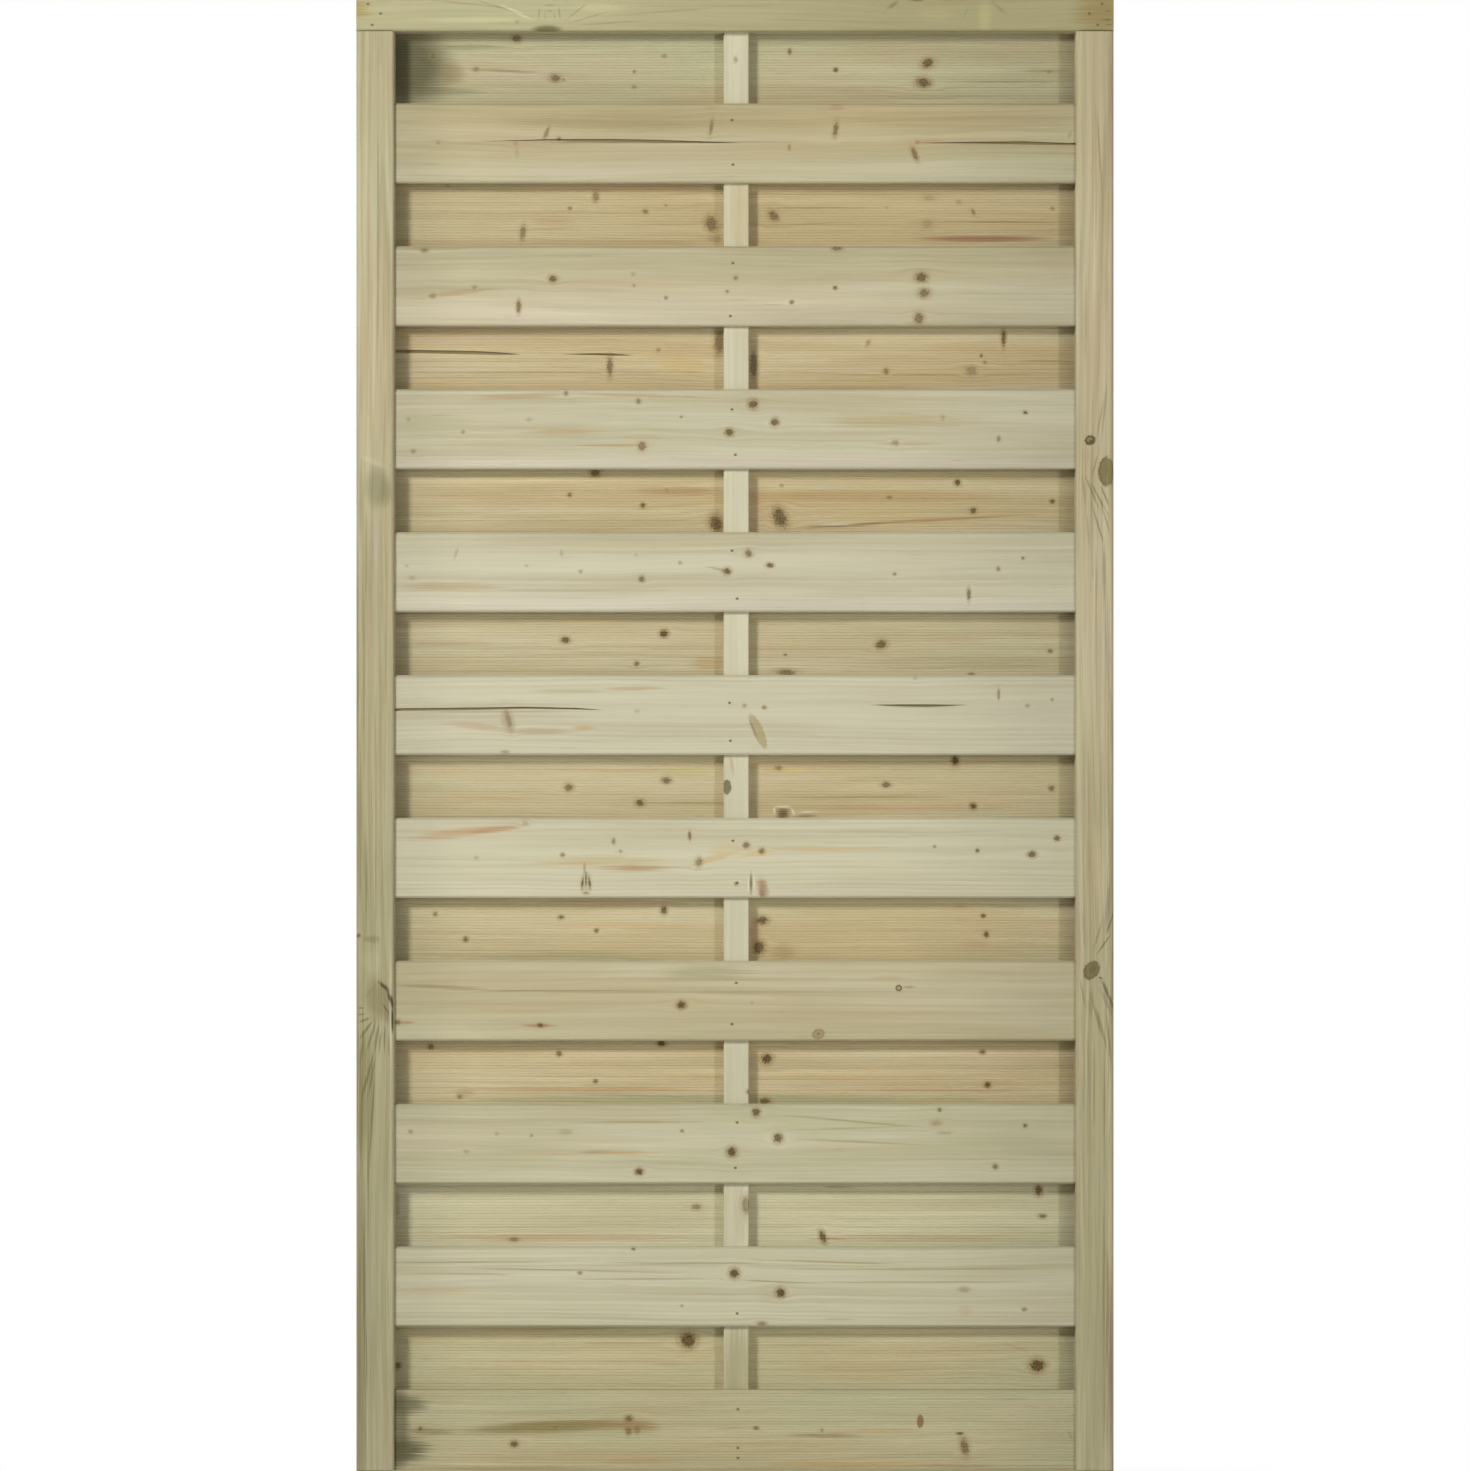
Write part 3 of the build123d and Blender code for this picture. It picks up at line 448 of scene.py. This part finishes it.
BOARDS["back_slat_06"] = Board(0.7, 1.01, 0.25, knots=[
    (568.9, 787.7, 4.8, 4, STRONG), (666.4, 780.4, 4.8, 3.7, STRONG), (639.8, 802.8, 4.8, 3.5, DEEP),
    (778.5, 768, 3.8, 2.5, CLEAR), (886.2, 784.7, 4.8, 3, STRONG), (955.1, 760.5, 3.8, 5, BLACK),
    (973.3, 806.3, 3.7, 3.2, BLACK), (1051.6, 788.4, 3.4, 3, STRONG)], marks=[
    (686, 772, 32, 7, (198, 184, 130), 0.55), (790, 770, 24, 2.6, (208, 192, 122), 0.7),
    (783, 814, 10, 7.5, (104, 84, 52), 0.9, 0.1), spot(783, 806.6, 9, 1.2, CREAM, 0.85),
    spot(774.4, 810.5, 1.2, 4.5, CREAM, 0.8), spot(793, 811.5, 1.3, 4.5, CREAM, 0.8, 0.4),
    (808, 812, 14, 1.3, CREAM, 0.8, 0.1), (806, 816, 17, 2.4, (144, 110, 72), 0.7),
    line(700, 803, 70, 1.6, 0.6), (900, 808, 130, 3, RED, 0.25), glow(480, 796, 90, 6, 0.25),
    line(860, 797, 110, 1.4), glow(620, 770, 90, 3, 0.25)])
BOARDS["back_slat_07"] = Board(0.7, 1.04, 0.3, knots=[
    (435.3, 914, 2.7, 2.5, CLEAR), (465.7, 939.4, 2.6, 3, STRONG), (561, 917.3, 3, 2.4, STRONG),
    (664, 910.3, 3.4, 4.2, DEEP), (596.3, 930.7, 2.4, 2.2, STRONG), (762.3, 920.6, 6, 4.4, DEEP),
    (759, 947.6, 6, 7, DEEP), (983.2, 915.8, 2.8, 2.2, DEEP), (986.2, 934.4, 3, 3, DEEP)], marks=[
    (783, 951, 17, 11, (168, 142, 96), 0.6), (960, 906, 9, 3, RED, 0.4), (976, 944, 18, 6, RED, 0.25),
    (620, 902, 110, 2.5, RED, 0.3), (560, 956, 170, 6, (160, 152, 112)),
    (620, 926, 110, 5, (190, 150, 98), 0.25), wash(900, 930, 150, 34, (190, 164, 114), 0.4),
    line(900, 930, 140, 2, 0.3), (755, 935, 8, 26, RED, 0.35)])
BOARDS["back_slat_08"] = Board(0.75, 1.05, 0.1, knots=[
    (430.8, 1046.6, 3.6, 3, STRONG), (559, 1053.5, 3, 3, STRONG), (661.7, 1043.3, 4.6, 2.8, BLACK),
    (595.5, 1081.4, 2.5, 2.2, STRONG), (459.5, 1096.8, 2.6, 2.2, CLEAR), (766.9, 1059, 5.6, 5.4, BLACK),
    (982.5, 1052, 3.2, 2.5, STRONG), (987.5, 1084.6, 3.2, 3, BLACK), (764.8, 1101.5, 6, 4, DEEP)], marks=[
    (590, 1089.4, 150, 5, (178, 148, 104), 0.6), (465, 1093, 14, 6, KNOT_BROWN, 0.35),
    (735, 1099, 360, 6, (150, 158, 122), 0.6), (900, 1090, 160, 1.6, RED, 0.4), glow(880, 1078, 150, 6, 0.3),
    (1000, 1082, 20, 4, RED, 0.2)])
BOARDS["back_slat_09"] = Board(0.05, 1.1, 0.45, knots=[
    (696.5, 1207, 4.6, 3, CLEAR), (514, 1239.6, 5, 2.4, CLEAR), (1038.5, 1190, 4, 6, DEEP),
    (1042.7, 1216, 4.6, 2.2, STRONG), (822.8, 1237, 3.4, 7, DEEP, 0.35)], marks=[
    (397, 1205, 4, 18, (160, 148, 110)), wash(560, 1210, 160, 30, (178, 162, 118), 0.2),
    wash(900, 1210, 160, 30, (206, 194, 158), 0.2), (560, 1237.5, 180, 4.5, (178, 150, 114), 0.6),
    (829, 1238.9, 30, 2, RED, 0.7), (930, 1238, 150, 5, (178, 150, 114), 0.45), line(840, 1187, 20, 2)])
BOARDS["back_slat_10"] = Board(0.65, 1.05, 0.5, knots=[
    (688.3, 1340.4, 8.2, 7.8, BLACK), (397.3, 1365.7, 4, 4, DEEP), (1037.7, 1365.7, 8, 6.6, BLACK)], marks=[
    glow(520, 1366, 90, 8, 0.25), glow(860, 1366, 110, 7, 0.2), line(640, 1343, 90, 1.2),
    line(800, 1345, 60, 1.2), line(1018, 1348, 18, 2, 0.3, -0.3), (700, 1355, 20, 10, HONEY, 0.3),
    wash(900, 1355, 150, 26, (174, 158, 116), 0.2)])


class Tree:
    """Short ways to add nodes to a shader tree and link them."""

    def __init__(self, tree):
        self.nodes = tree.nodes
        self.links = tree.links

    def add(self, kind, inputs=None, **settings):
        node = self.nodes.new("ShaderNode" + kind)
        for name, value in settings.items():
            setattr(node, name, value)
        for name, value in (inputs or {}).items():
            self.feed(node.inputs[name], value)
        return node

    def feed(self, socket, value):
        if isinstance(value, bpy.types.NodeSocket):
            self.links.new(value, socket)
        else:
            socket.default_value = value

    def group(self, group, inputs):
        return self.add("Group", inputs, node_tree=group).outputs

    def math(self, operation, first, second=0.0):
        return self.add("Math", {0: first, 1: second}, operation=operation).outputs[0]

    def times(self, first, second):
        return self.math("MULTIPLY", first, second)

    def vector(self, operation, first, second=(0.0, 0.0, 0.0)):
        node = self.add("VectorMath", {0: first, 1: second}, operation=operation)
        return node.outputs["Value" if operation in ("LENGTH", "DOT_PRODUCT") else "Vector"]

    def join(self, x=0.0, y=0.0, z=0.0):
        return self.add("CombineXYZ", {0: x, 1: y, 2: z}).outputs[0]

    def split(self, vector):
        return self.add("SeparateXYZ", {0: vector}).outputs

    def steps(self, value, from_low, from_high, to_low=0.0, to_high=1.0, smooth=True):
        kind = "SMOOTHSTEP" if smooth else "LINEAR"
        inputs = {"Value": value, "From Min": from_low, "From Max": from_high,
                  "To Min": to_low, "To Max": to_high}
        return self.add("MapRange", inputs, interpolation_type=kind).outputs["Result"]

    def spread(self, noise, low, high, smooth=True):
        """Noise drawn out from its usual values to low and high."""
        return self.steps(noise, *USUAL_NOISE, low, high, smooth)

    def mix(self, factor, first, second, blend="MIX"):
        node = self.add("Mix", data_type="RGBA", blend_type=blend)
        self.feed(node.inputs[0], factor)
        self.feed(node.inputs[6], first)
        self.feed(node.inputs[7], second)
        return node.outputs[2]

    def noise(self, place, stretch, seed, detail=3.0, roughness=0.55):
        spread = self.vector("MULTIPLY", place, stretch)
        inputs = {"Vector": spread, "W": seed, "Scale": 1.0, "Detail": detail, "Roughness": roughness}
        return self.add("TexNoise", inputs, noise_dimensions="4D").outputs[0]


def light(tone):
    """Linear light of a tone, by the sRGB curve."""
    linear = []
    for level in tone:
        share = level / 255
        linear.append(share / 12.92 if share <= 0.04045 else ((share + 0.055) / 1.055) ** 2.4)
    return (*linear, 1.0)


def emptied(owner):
    """Tree of a material or world, without the nodes that it starts with."""
    owner.use_nodes = True
    owner.node_tree.nodes.clear()
    return Tree(owner.node_tree)


def new_group(name, inputs, outputs):
    """Node group with its own input and output nodes. Returns the group, its Tree and both nodes."""
    group = bpy.data.node_groups.new(name, "ShaderNodeTree")
    for socket, kind in inputs.items():
        group.interface.new_socket(name=socket, in_out="INPUT", socket_type="NodeSocket" + kind)
    for socket, kind in outputs.items():
        group.interface.new_socket(name=socket, in_out="OUTPUT", socket_type="NodeSocket" + kind)
    tree = Tree(group)
    return group, tree, tree.nodes.new("NodeGroupInput").outputs, tree.nodes.new("NodeGroupOutput").inputs


def in_ellipse(tree, given, before):
    """The board's coordinates in an ellipse with its centre at Place: 1 from it is the rim.

    A trace of the result before is added to them, too small to be seen, so that the marks are worked
    out one after the other. All at once would need more memory than a shader has.
    """
    trace = (1e-9, 1e-9, 1e-9)
    traced = tree.add("VectorMath", {0: before, 1: trace, 2: given["Board"]}, operation="MULTIPLY_ADD")
    inputs = {"Vector": traced.outputs["Vector"], "Location": given["Place"], "Rotation": given["Turn"],
              "Scale": given["Half"]}
    return tree.add("Mapping", inputs, vector_type="TEXTURE").outputs[0]


def knot_group():
    """One knot, added to those before it.

    So far holds three numbers in one vector: how far the grain lines move across the board, how dark
    the knots' cores are here, and how strong the brown around them is.
    """
    own = {"Board": "Vector", "Place": "Vector", "Half": "Vector", "Turn": "Vector", "Dark": "Float",
           "Ragged": "Vector", "So far": "Vector"}
    group, tree, given, result = new_group("knot", own, {"So far": "Vector"})
    so_far = tree.split(given["So far"])
    local = in_ellipse(tree, given, given["So far"])
    distance = tree.vector("LENGTH", tree.vector("ADD", local, given["Ragged"]))
    flow_shape = (0.5, 1.0, 0.0)
    flow_place = tree.vector("MULTIPLY", local, flow_shape)
    flow_square = tree.math("MAXIMUM", tree.vector("DOT_PRODUCT", flow_place, flow_place), 1.0)
    fade = tree.steps(distance, *GRAIN_BEND)
    share = tree.math("DIVIDE", tree.times(tree.split(local)[1], fade), flow_square)
    half = tree.split(given["Half"])
    push = tree.times(share, tree.math("MINIMUM", half[0], half[1]))
    whorls, whorl_low = 15.0, 0.72
    whorl = tree.steps(tree.math("SINE", tree.times(distance, whorls)), -1.0, 1.0, whorl_low)
    core = tree.times(tree.steps(distance, *KNOT_CORE), whorl)
    halo = tree.steps(distance, *KNOT_HALO)
    tree.feed(result["So far"], tree.join(
        tree.math("ADD", so_far[0], push),
        tree.math("MAXIMUM", so_far[1], tree.times(core, given["Dark"])),
        tree.math("MAXIMUM", so_far[2], tree.times(halo, given["Dark"]))))
    return group


def mark_group():
    """One soft mark laid over a colour, with its edge frayed along the fibres, even or crisp."""
    inputs = {"Color": "Color", "Board": "Vector", "Place": "Vector", "Half": "Vector",
              "Turn": "Vector", "Fray": "Float", "Rim": "Float", "Tone": "Color", "Strength": "Float"}
    group, tree, given, result = new_group("mark", inputs, {"Color": "Color"})
    local = in_ellipse(tree, given, given["Color"])
    distance = tree.math("ADD", tree.vector("LENGTH", local), given["Fray"])
    mask = tree.times(tree.steps(distance, given["Rim"], 1.0, 1.0, 0.0), given["Strength"])
    tree.feed(result["Color"], tree.mix(mask, given["Color"], given["Tone"]))
    return group


def grain_group():
    """Growth rings and fibres of one board. Board is along, across and depth in metres."""
    inputs = {"Board": "Vector", "Push": "Float", "Pith": "Vector", "Seed": "Float"}
    outputs = {"Late": "Float", "Fibre": "Float", "Band": "Float", "Patch": "Float", "Tint": "Float",
               "Fleck": "Float"}
    group, tree, given, result = new_group("grain", inputs, outputs)
    board, seed = given["Board"], given["Seed"]
    wander = tree.noise(board, WANDER, seed, detail=2.0)
    wobble = tree.noise(board, WOBBLE, seed, detail=2.0)
    sway = tree.math("ADD", tree.steps(wander, 0.0, 1.0, -WANDER_REACH, WANDER_REACH, False),
                     tree.steps(wobble, 0.0, 1.0, -WOBBLE_REACH, WOBBLE_REACH, False))
    swayed = tree.vector("ADD", board, tree.join(y=tree.math("SUBTRACT", sway, given["Push"])))
    from_pith = tree.vector("SUBTRACT", swayed, given["Pith"])
    radius = tree.vector("LENGTH", tree.vector("MULTIPLY", from_pith, (TRUNK_TAPER, 1.0, 1.0)))
    years = tree.times(radius, RINGS_PER_METRE)
    slow_width, width_reach = (0.7, 1.0, 1.0), 1.6
    uneven = tree.noise(tree.join(years), slow_width, seed, 1.0)
    year = tree.math("FRACT", tree.math("ADD", years, tree.times(uneven, width_reach)))
    rise = tree.steps(year, *LATE_RISE)
    drop = tree.steps(year, *LATE_DROP)
    slow_strength, faintest = (0.31, 1.0, 1.0), 0.35
    strength = tree.noise(tree.join(years), slow_strength, seed, 0.0)
    ring = tree.times(tree.times(rise, drop), tree.spread(strength, faintest, 1.0))
    tree.feed(result["Late"], ring)
    tree.feed(result["Fibre"], tree.noise(swayed, FIBRE, seed, detail=4.0, roughness=0.6))
    tree.feed(result["Band"], tree.noise(swayed, BAND, seed))
    tree.feed(result["Patch"], tree.noise(swayed, PATCH, seed))
    other_seed = tree.math("ADD", seed, OTHER_SEED)
    tree.feed(result["Tint"], tree.noise(board, TINT, other_seed, detail=2.0))
    tree.feed(result["Fleck"], tree.noise(swayed, FLECK, other_seed, detail=1.0))
    return group


KNOT_GROUP = knot_group()
MARK_GROUP = mark_group()
GRAIN_GROUP = grain_group()


def ellipse_inputs(mark, plane_y, upright, depth):
    """Place, half size and turn of a mark, as (along, across, depth) of a board."""
    further = 1 + (plane_y - front_plane) / CAMERA_DISTANCE
    scale = metres_per_px * further
    x = (mark.x - PHOTO_WIDTH_PX / 2) * scale
    z = CAMERA_HEIGHT - (mark.y - PHOTO_HEIGHT_PX / 2) * scale
    wide, high = mark.wide * scale, mark.high * scale
    if upright:
        return {"Place": (z, x, plane_y), "Half": (high, wide, depth), "Turn": (0, 0, -mark.turn)}
    return {"Place": (x, z, plane_y), "Half": (wide, high, depth), "Turn": (0, 0, mark.turn)}


def nail_places():
    """(x, z) of the middle of each nail."""
    nails = []
    for node in NAIL_NODES:
        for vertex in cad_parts[node].data.vertices:
            x, _, z = vertex.co
            for nail in nails:
                if abs(nail[0][0] - x) + abs(nail[0][1] - z) < NAIL_REACH:
                    nail.append((x, z))
                    break
            else:
                nails.append([(x, z)])
    return [(sum(x for x, _ in nail) / len(nail), sum(z for _, z in nail) / len(nail)) for nail in nails]


NAILS = nail_places()


def with_knots(tree, knots, along_board, ragged, plane_y, upright):
    """All the knots of a board: how far they push the grain, their dark cores and their brown rims."""
    so_far = tree.join()
    for row in knots:
        knot = Knot(*row)
        inputs = {"Board": along_board, "Ragged": ragged, "Dark": knot.dark, "So far": so_far}
        inputs.update(ellipse_inputs(knot, plane_y, upright, KNOT_DEPTH))
        so_far = tree.group(KNOT_GROUP, inputs)["So far"]
    return tree.split(so_far)


def with_marks(tree, colour, marks, along_board, edges, plane_y, upright):
    """The colour under a board's marks, laid over it one after the other."""
    for row in marks:
        mark = Mark(*row)
        fray, rim = edges[mark.edge]
        inputs = {"Color": colour, "Board": along_board, "Fray": fray, "Rim": rim,
                  "Tone": light(mark.tone), "Strength": mark.strength}
        inputs.update(ellipse_inputs(mark, plane_y, upright, STREAK_DEPTH))
        colour = tree.group(MARK_GROUP, inputs)["Color"]
    return colour


def with_nail_stains_and_shadows(tree, colour, along_board, low, high):
    """The colour with a dark mark round each nail in a level board: a stain, partly painted shadow of the
    nail's sunk head.
    """
    fray, rim = EVEN_EDGE
    for x, z in NAILS:
        if low[2] < z < high[2]:
            inputs = {"Color": colour, "Board": along_board, "Fray": fray, "Rim": rim, "Tone": light(SPLIT_SHADE_AND_STAIN),
                      "Strength": NAIL_STAIN_AND_SHADOW_STRENGTH, "Place": (x, z, low[1]), "Half": NAIL_STAIN_AND_SHADOW}
            colour = tree.group(MARK_GROUP, inputs)["Color"]
    return colour


def painted_slat_shade(tree, name, place, middle):
    """Painted shade on a slat: how much of its brightness it keeps, less towards its ends, beside the stiles
    on back slats, and at its long edges.
    """
    shade = tree.times(tree.steps(place[0], *RIGHT_END_PAINTED_SHADE), tree.steps(place[0], *LEFT_END_PAINTED_SHADE))
    if name.startswith("back"):
        off_centre = tree.math("ABSOLUTE", place[0])
        shade = tree.times(shade, tree.steps(off_centre, *BACK_ENDS_PAINTED_SHADOW))
    off_middle = tree.math("ABSOLUTE", tree.math("SUBTRACT", place[2], middle))
    return tree.times(shade, tree.steps(off_middle, *LONG_EDGES_PAINTED_SHADE))


def with_painted_shake_shade(tree, colour, place, middle, plane_y):
    """The colour with painted shade inside the drying shakes, just under the face."""
    depth = tree.math("SUBTRACT", place[1], plane_y)
    under_face = tree.times(tree.steps(depth, *SHAKE_TOP), tree.steps(depth, *SHAKE_FLOOR))
    off_middle = tree.math("ABSOLUTE", tree.math("SUBTRACT", place[2], middle))
    in_shake = tree.times(under_face, tree.steps(off_middle, *SHAKE_ENDS))
    return tree.mix(tree.times(in_shake, SHAKE_SHADE_SHARE), colour, light(SHAKE_PAINTED_SHADE))


def timber(name, board, seed):
    """Planed softwood of one board, whose marks are on the face that the photograph shows."""
    low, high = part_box(name)
    upright = high[2] - low[2] > high[0] - low[0]
    plane_y = low[1]
    middle = (low[0] + high[0]) / 2 if upright else (low[2] + high[2]) / 2
    material = bpy.data.materials.new("timber_" + name)
    tree = emptied(material)
    place = tree.split(tree.add("TexCoord").outputs["Object"])
    order = (2, 0, 1) if upright else (0, 2, 1)
    along_board = tree.join(*(place[axis] for axis in order))
    ragged = tree.add("TexNoise", {"Vector": along_board, "Scale": RAGGED}).outputs["Color"]
    ragged = tree.vector("MULTIPLY", tree.vector("SUBTRACT", ragged, (0.5, 0.5, 0.5)), RAGGED_REACH)
    push, core, halo = with_knots(tree, board.knots, along_board, ragged, plane_y, upright)

    pith = (PITH_ALONG, middle + PITH_ACROSS, plane_y + PITH_BEHIND)
    grain = {"Board": along_board, "Push": push, "Pith": pith, "Seed": seed}
    late, fibre, band, patch, tint, fleck = tree.group(GRAIN_GROUP, grain)
    warm = tree.spread(patch, board.warm - WARM_SPREAD, board.warm + WARM_SPREAD)
    colour = tree.mix(warm, light(PALE), light(HONEY))
    green = tree.spread(tint, board.green * GREEN_LEAST, board.green * GREEN_MOST)
    colour = tree.mix(green, colour, light(GREENISH))
    colour = tree.mix(tree.times(late, LATE_SHARE * board.lines), colour, light(LATEWOOD))
    fine = tree.spread(fibre, -FIBRE_SHARE * board.lines, FIBRE_SHARE * board.lines, False)
    broad = tree.spread(band, -BAND_SHARE * board.lines, BAND_SHARE * board.lines, False)
    sweep = tree.spread(patch, SWEEP_SHARE, -SWEEP_SHARE, False)
    bright = tree.math("ADD", tree.math("ADD", fine, broad), tree.math("ADD", sweep, board.shade))

    fray = tree.steps(fibre, *FRAY, False)
    notch = tree.times(tree.split(ragged)[0], CRISP_NOTCH)
    edges = {"frayed": (fray, FRAYED_RIM), "even": EVEN_EDGE, "crisp": (notch, CRISP_RIM)}
    colour = with_marks(tree, colour, board.marks, along_board, edges, plane_y, upright)
    colour = tree.mix(tree.steps(fleck, *FLECKS), colour, light(LATEWOOD))
    if not upright:
        colour = with_nail_stains_and_shadows(tree, colour, along_board, low, high)
    # Painted shade of the slats, at their ends and long edges
    if "slat" in name:
        bright = tree.times(bright, painted_slat_shade(tree, name, place, middle))
    colour = tree.mix(1.0, colour, tree.join(bright, bright, bright), "MULTIPLY")
    colour = tree.mix(tree.times(halo, HALO_SHARE), colour, light(KNOT_BROWN))
    colour = tree.mix(core, colour, light(KNOT_DARK))
    # Painted shade inside the drying shakes
    if name in BOARDS_WITH_SHAKES:
        colour = with_painted_shake_shade(tree, colour, place, middle, plane_y)

    height = tree.noise(along_board, FIBRE, seed, detail=2.0)
    bump = tree.add("Bump", {"Height": height, "Strength": 0.3, "Distance": 0.0003})
    planed = {"Base Color": colour, "Normal": bump.outputs[0], "Roughness": 0.72, "Specular IOR Level": 0.3}
    shader = tree.add("BsdfPrincipled", planed)
    tree.add("OutputMaterial", {"Surface": shader.outputs[0]})
    return material


def paint(node, material):
    """Give a node of the frame its material."""
    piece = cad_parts[node]
    piece.data.materials.clear()
    piece.data.materials.append(material)


def steel():
    """Dull wire of the nails."""
    material = bpy.data.materials.new("nail_steel")
    tree = emptied(material)
    place = tree.add("TexCoord").outputs["Object"]
    patchy = tree.noise(place, (900.0, 900.0, 900.0), 1.0)
    inputs = {"Base Color": tree.mix(patchy, light(STEEL), light(SPLIT_SHADE_AND_STAIN)),
              "Roughness": tree.spread(patchy, 0.35, 0.6), "Metallic": 0.8}
    shader = tree.add("BsdfPrincipled", inputs)
    tree.add("OutputMaterial", {"Surface": shader.outputs[0]})
    return material


def make_camera():
    """Straight on, at the photograph's distance and height."""
    data = bpy.data.cameras.new("camera")
    data.sensor_fit = "VERTICAL"
    data.sensor_height = SENSOR_MM
    data.sensor_width = SENSOR_MM
    data.lens = SENSOR_MM * CAMERA_DISTANCE / view_height
    camera = bpy.data.objects.new("camera", data)
    camera.location = (0.0, front_plane - CAMERA_DISTANCE, CAMERA_HEIGHT)
    camera.rotation_euler = (QUARTER_TURN, 0.0, 0.0)
    bpy.context.scene.collection.objects.link(camera)
    bpy.context.scene.camera = camera


def make_lamp(name, place, width, height, watts):
    """Area lamp pointed at the panel."""
    data = bpy.data.lights.new(name, "AREA")
    data.shape = "RECTANGLE"
    data.size = width
    data.size_y = height
    data.energy = watts
    lamp = bpy.data.objects.new(name, data)
    lamp.location = place
    lamp.rotation_euler = (Vector(LAMPS_AIM) - Vector(place)).to_track_quat("-Z", "Y").to_euler()
    bpy.context.scene.collection.objects.link(lamp)


def seen_directly(tree):
    """1 for rays that show the background: from the camera, or by way of gloss or glass."""
    path = tree.add("LightPath").outputs
    seen = tree.math("MAXIMUM", path["Is Camera Ray"], path["Is Glossy Ray"])
    return tree.math("MAXIMUM", seen, path["Is Transmission Ray"])


def make_sky():
    """Soft even light, white where it is seen."""
    world = bpy.data.worlds.new("sky")
    tree = emptied(world)
    soft = tree.add("Background", {"Color": WHITE, "Strength": SKY_STRENGTH})
    white = tree.add("Background", {"Color": WHITE, "Strength": 1.0})
    both = tree.add("MixShader", {0: seen_directly(tree), 1: soft.outputs[0], 2: white.outputs[0]})
    tree.add("OutputWorld", {"Surface": both.outputs[0]})
    bpy.context.scene.world = world


def make_floor():
    """Pale floor that keeps the shadow close to the panel and turns white further off."""
    mesh = bpy.data.meshes.new("floor")
    side = FLOOR_REACH
    corners = [(-side, -side, 0), (side, -side, 0), (side, side, 0), (-side, side, 0)]
    mesh.from_pydata(corners, [], [(0, 1, 2, 3)])
    floor = bpy.data.objects.new("floor", mesh)
    bpy.context.scene.collection.objects.link(floor)
    material = bpy.data.materials.new("floor")
    tree = emptied(material)
    place = tree.split(tree.add("TexCoord").outputs["Object"])
    beyond_end = tree.math("SUBTRACT", tree.math("ABSOLUTE", place[0]), solid_high[0])
    outside = tree.vector("LENGTH", tree.join(tree.math("MAXIMUM", beyond_end, 0.0), place[1]))
    far_off = tree.steps(outside, *FLOOR_FADE)
    pale = tree.add("BsdfDiffuse", {"Color": FLOOR_PAINT})
    glow = tree.add("Emission", {"Color": WHITE, "Strength": FLOOR_GLOW})
    near = tree.add("AddShader", {0: pale.outputs[0], 1: glow.outputs[0]})
    white = tree.add("Emission", {"Color": WHITE, "Strength": 1.0})
    shown = tree.add("MixShader", {0: far_off, 1: near.outputs[0], 2: white.outputs[0]})
    both = tree.add("MixShader", {0: seen_directly(tree), 1: pale.outputs[0], 2: shown.outputs[0]})
    tree.add("OutputMaterial", {"Surface": both.outputs[0]})
    mesh.materials.append(material)


make_camera()
make_sky()
make_floor()
make_lamp("key", *KEY_LAMP)
make_lamp("second", *SECOND_LAMP)
make_lamp("rear", *REAR_LAMP)

chance = random.Random(SEED)
for name, board in BOARDS.items():
    paint(name, timber(name, board, chance.uniform(0, SEED_RANGE)))
nail_steel = steel()
for name in NAIL_NODES:
    paint(name, nail_steel)

bpy.context.scene.view_settings.view_transform = "Standard"
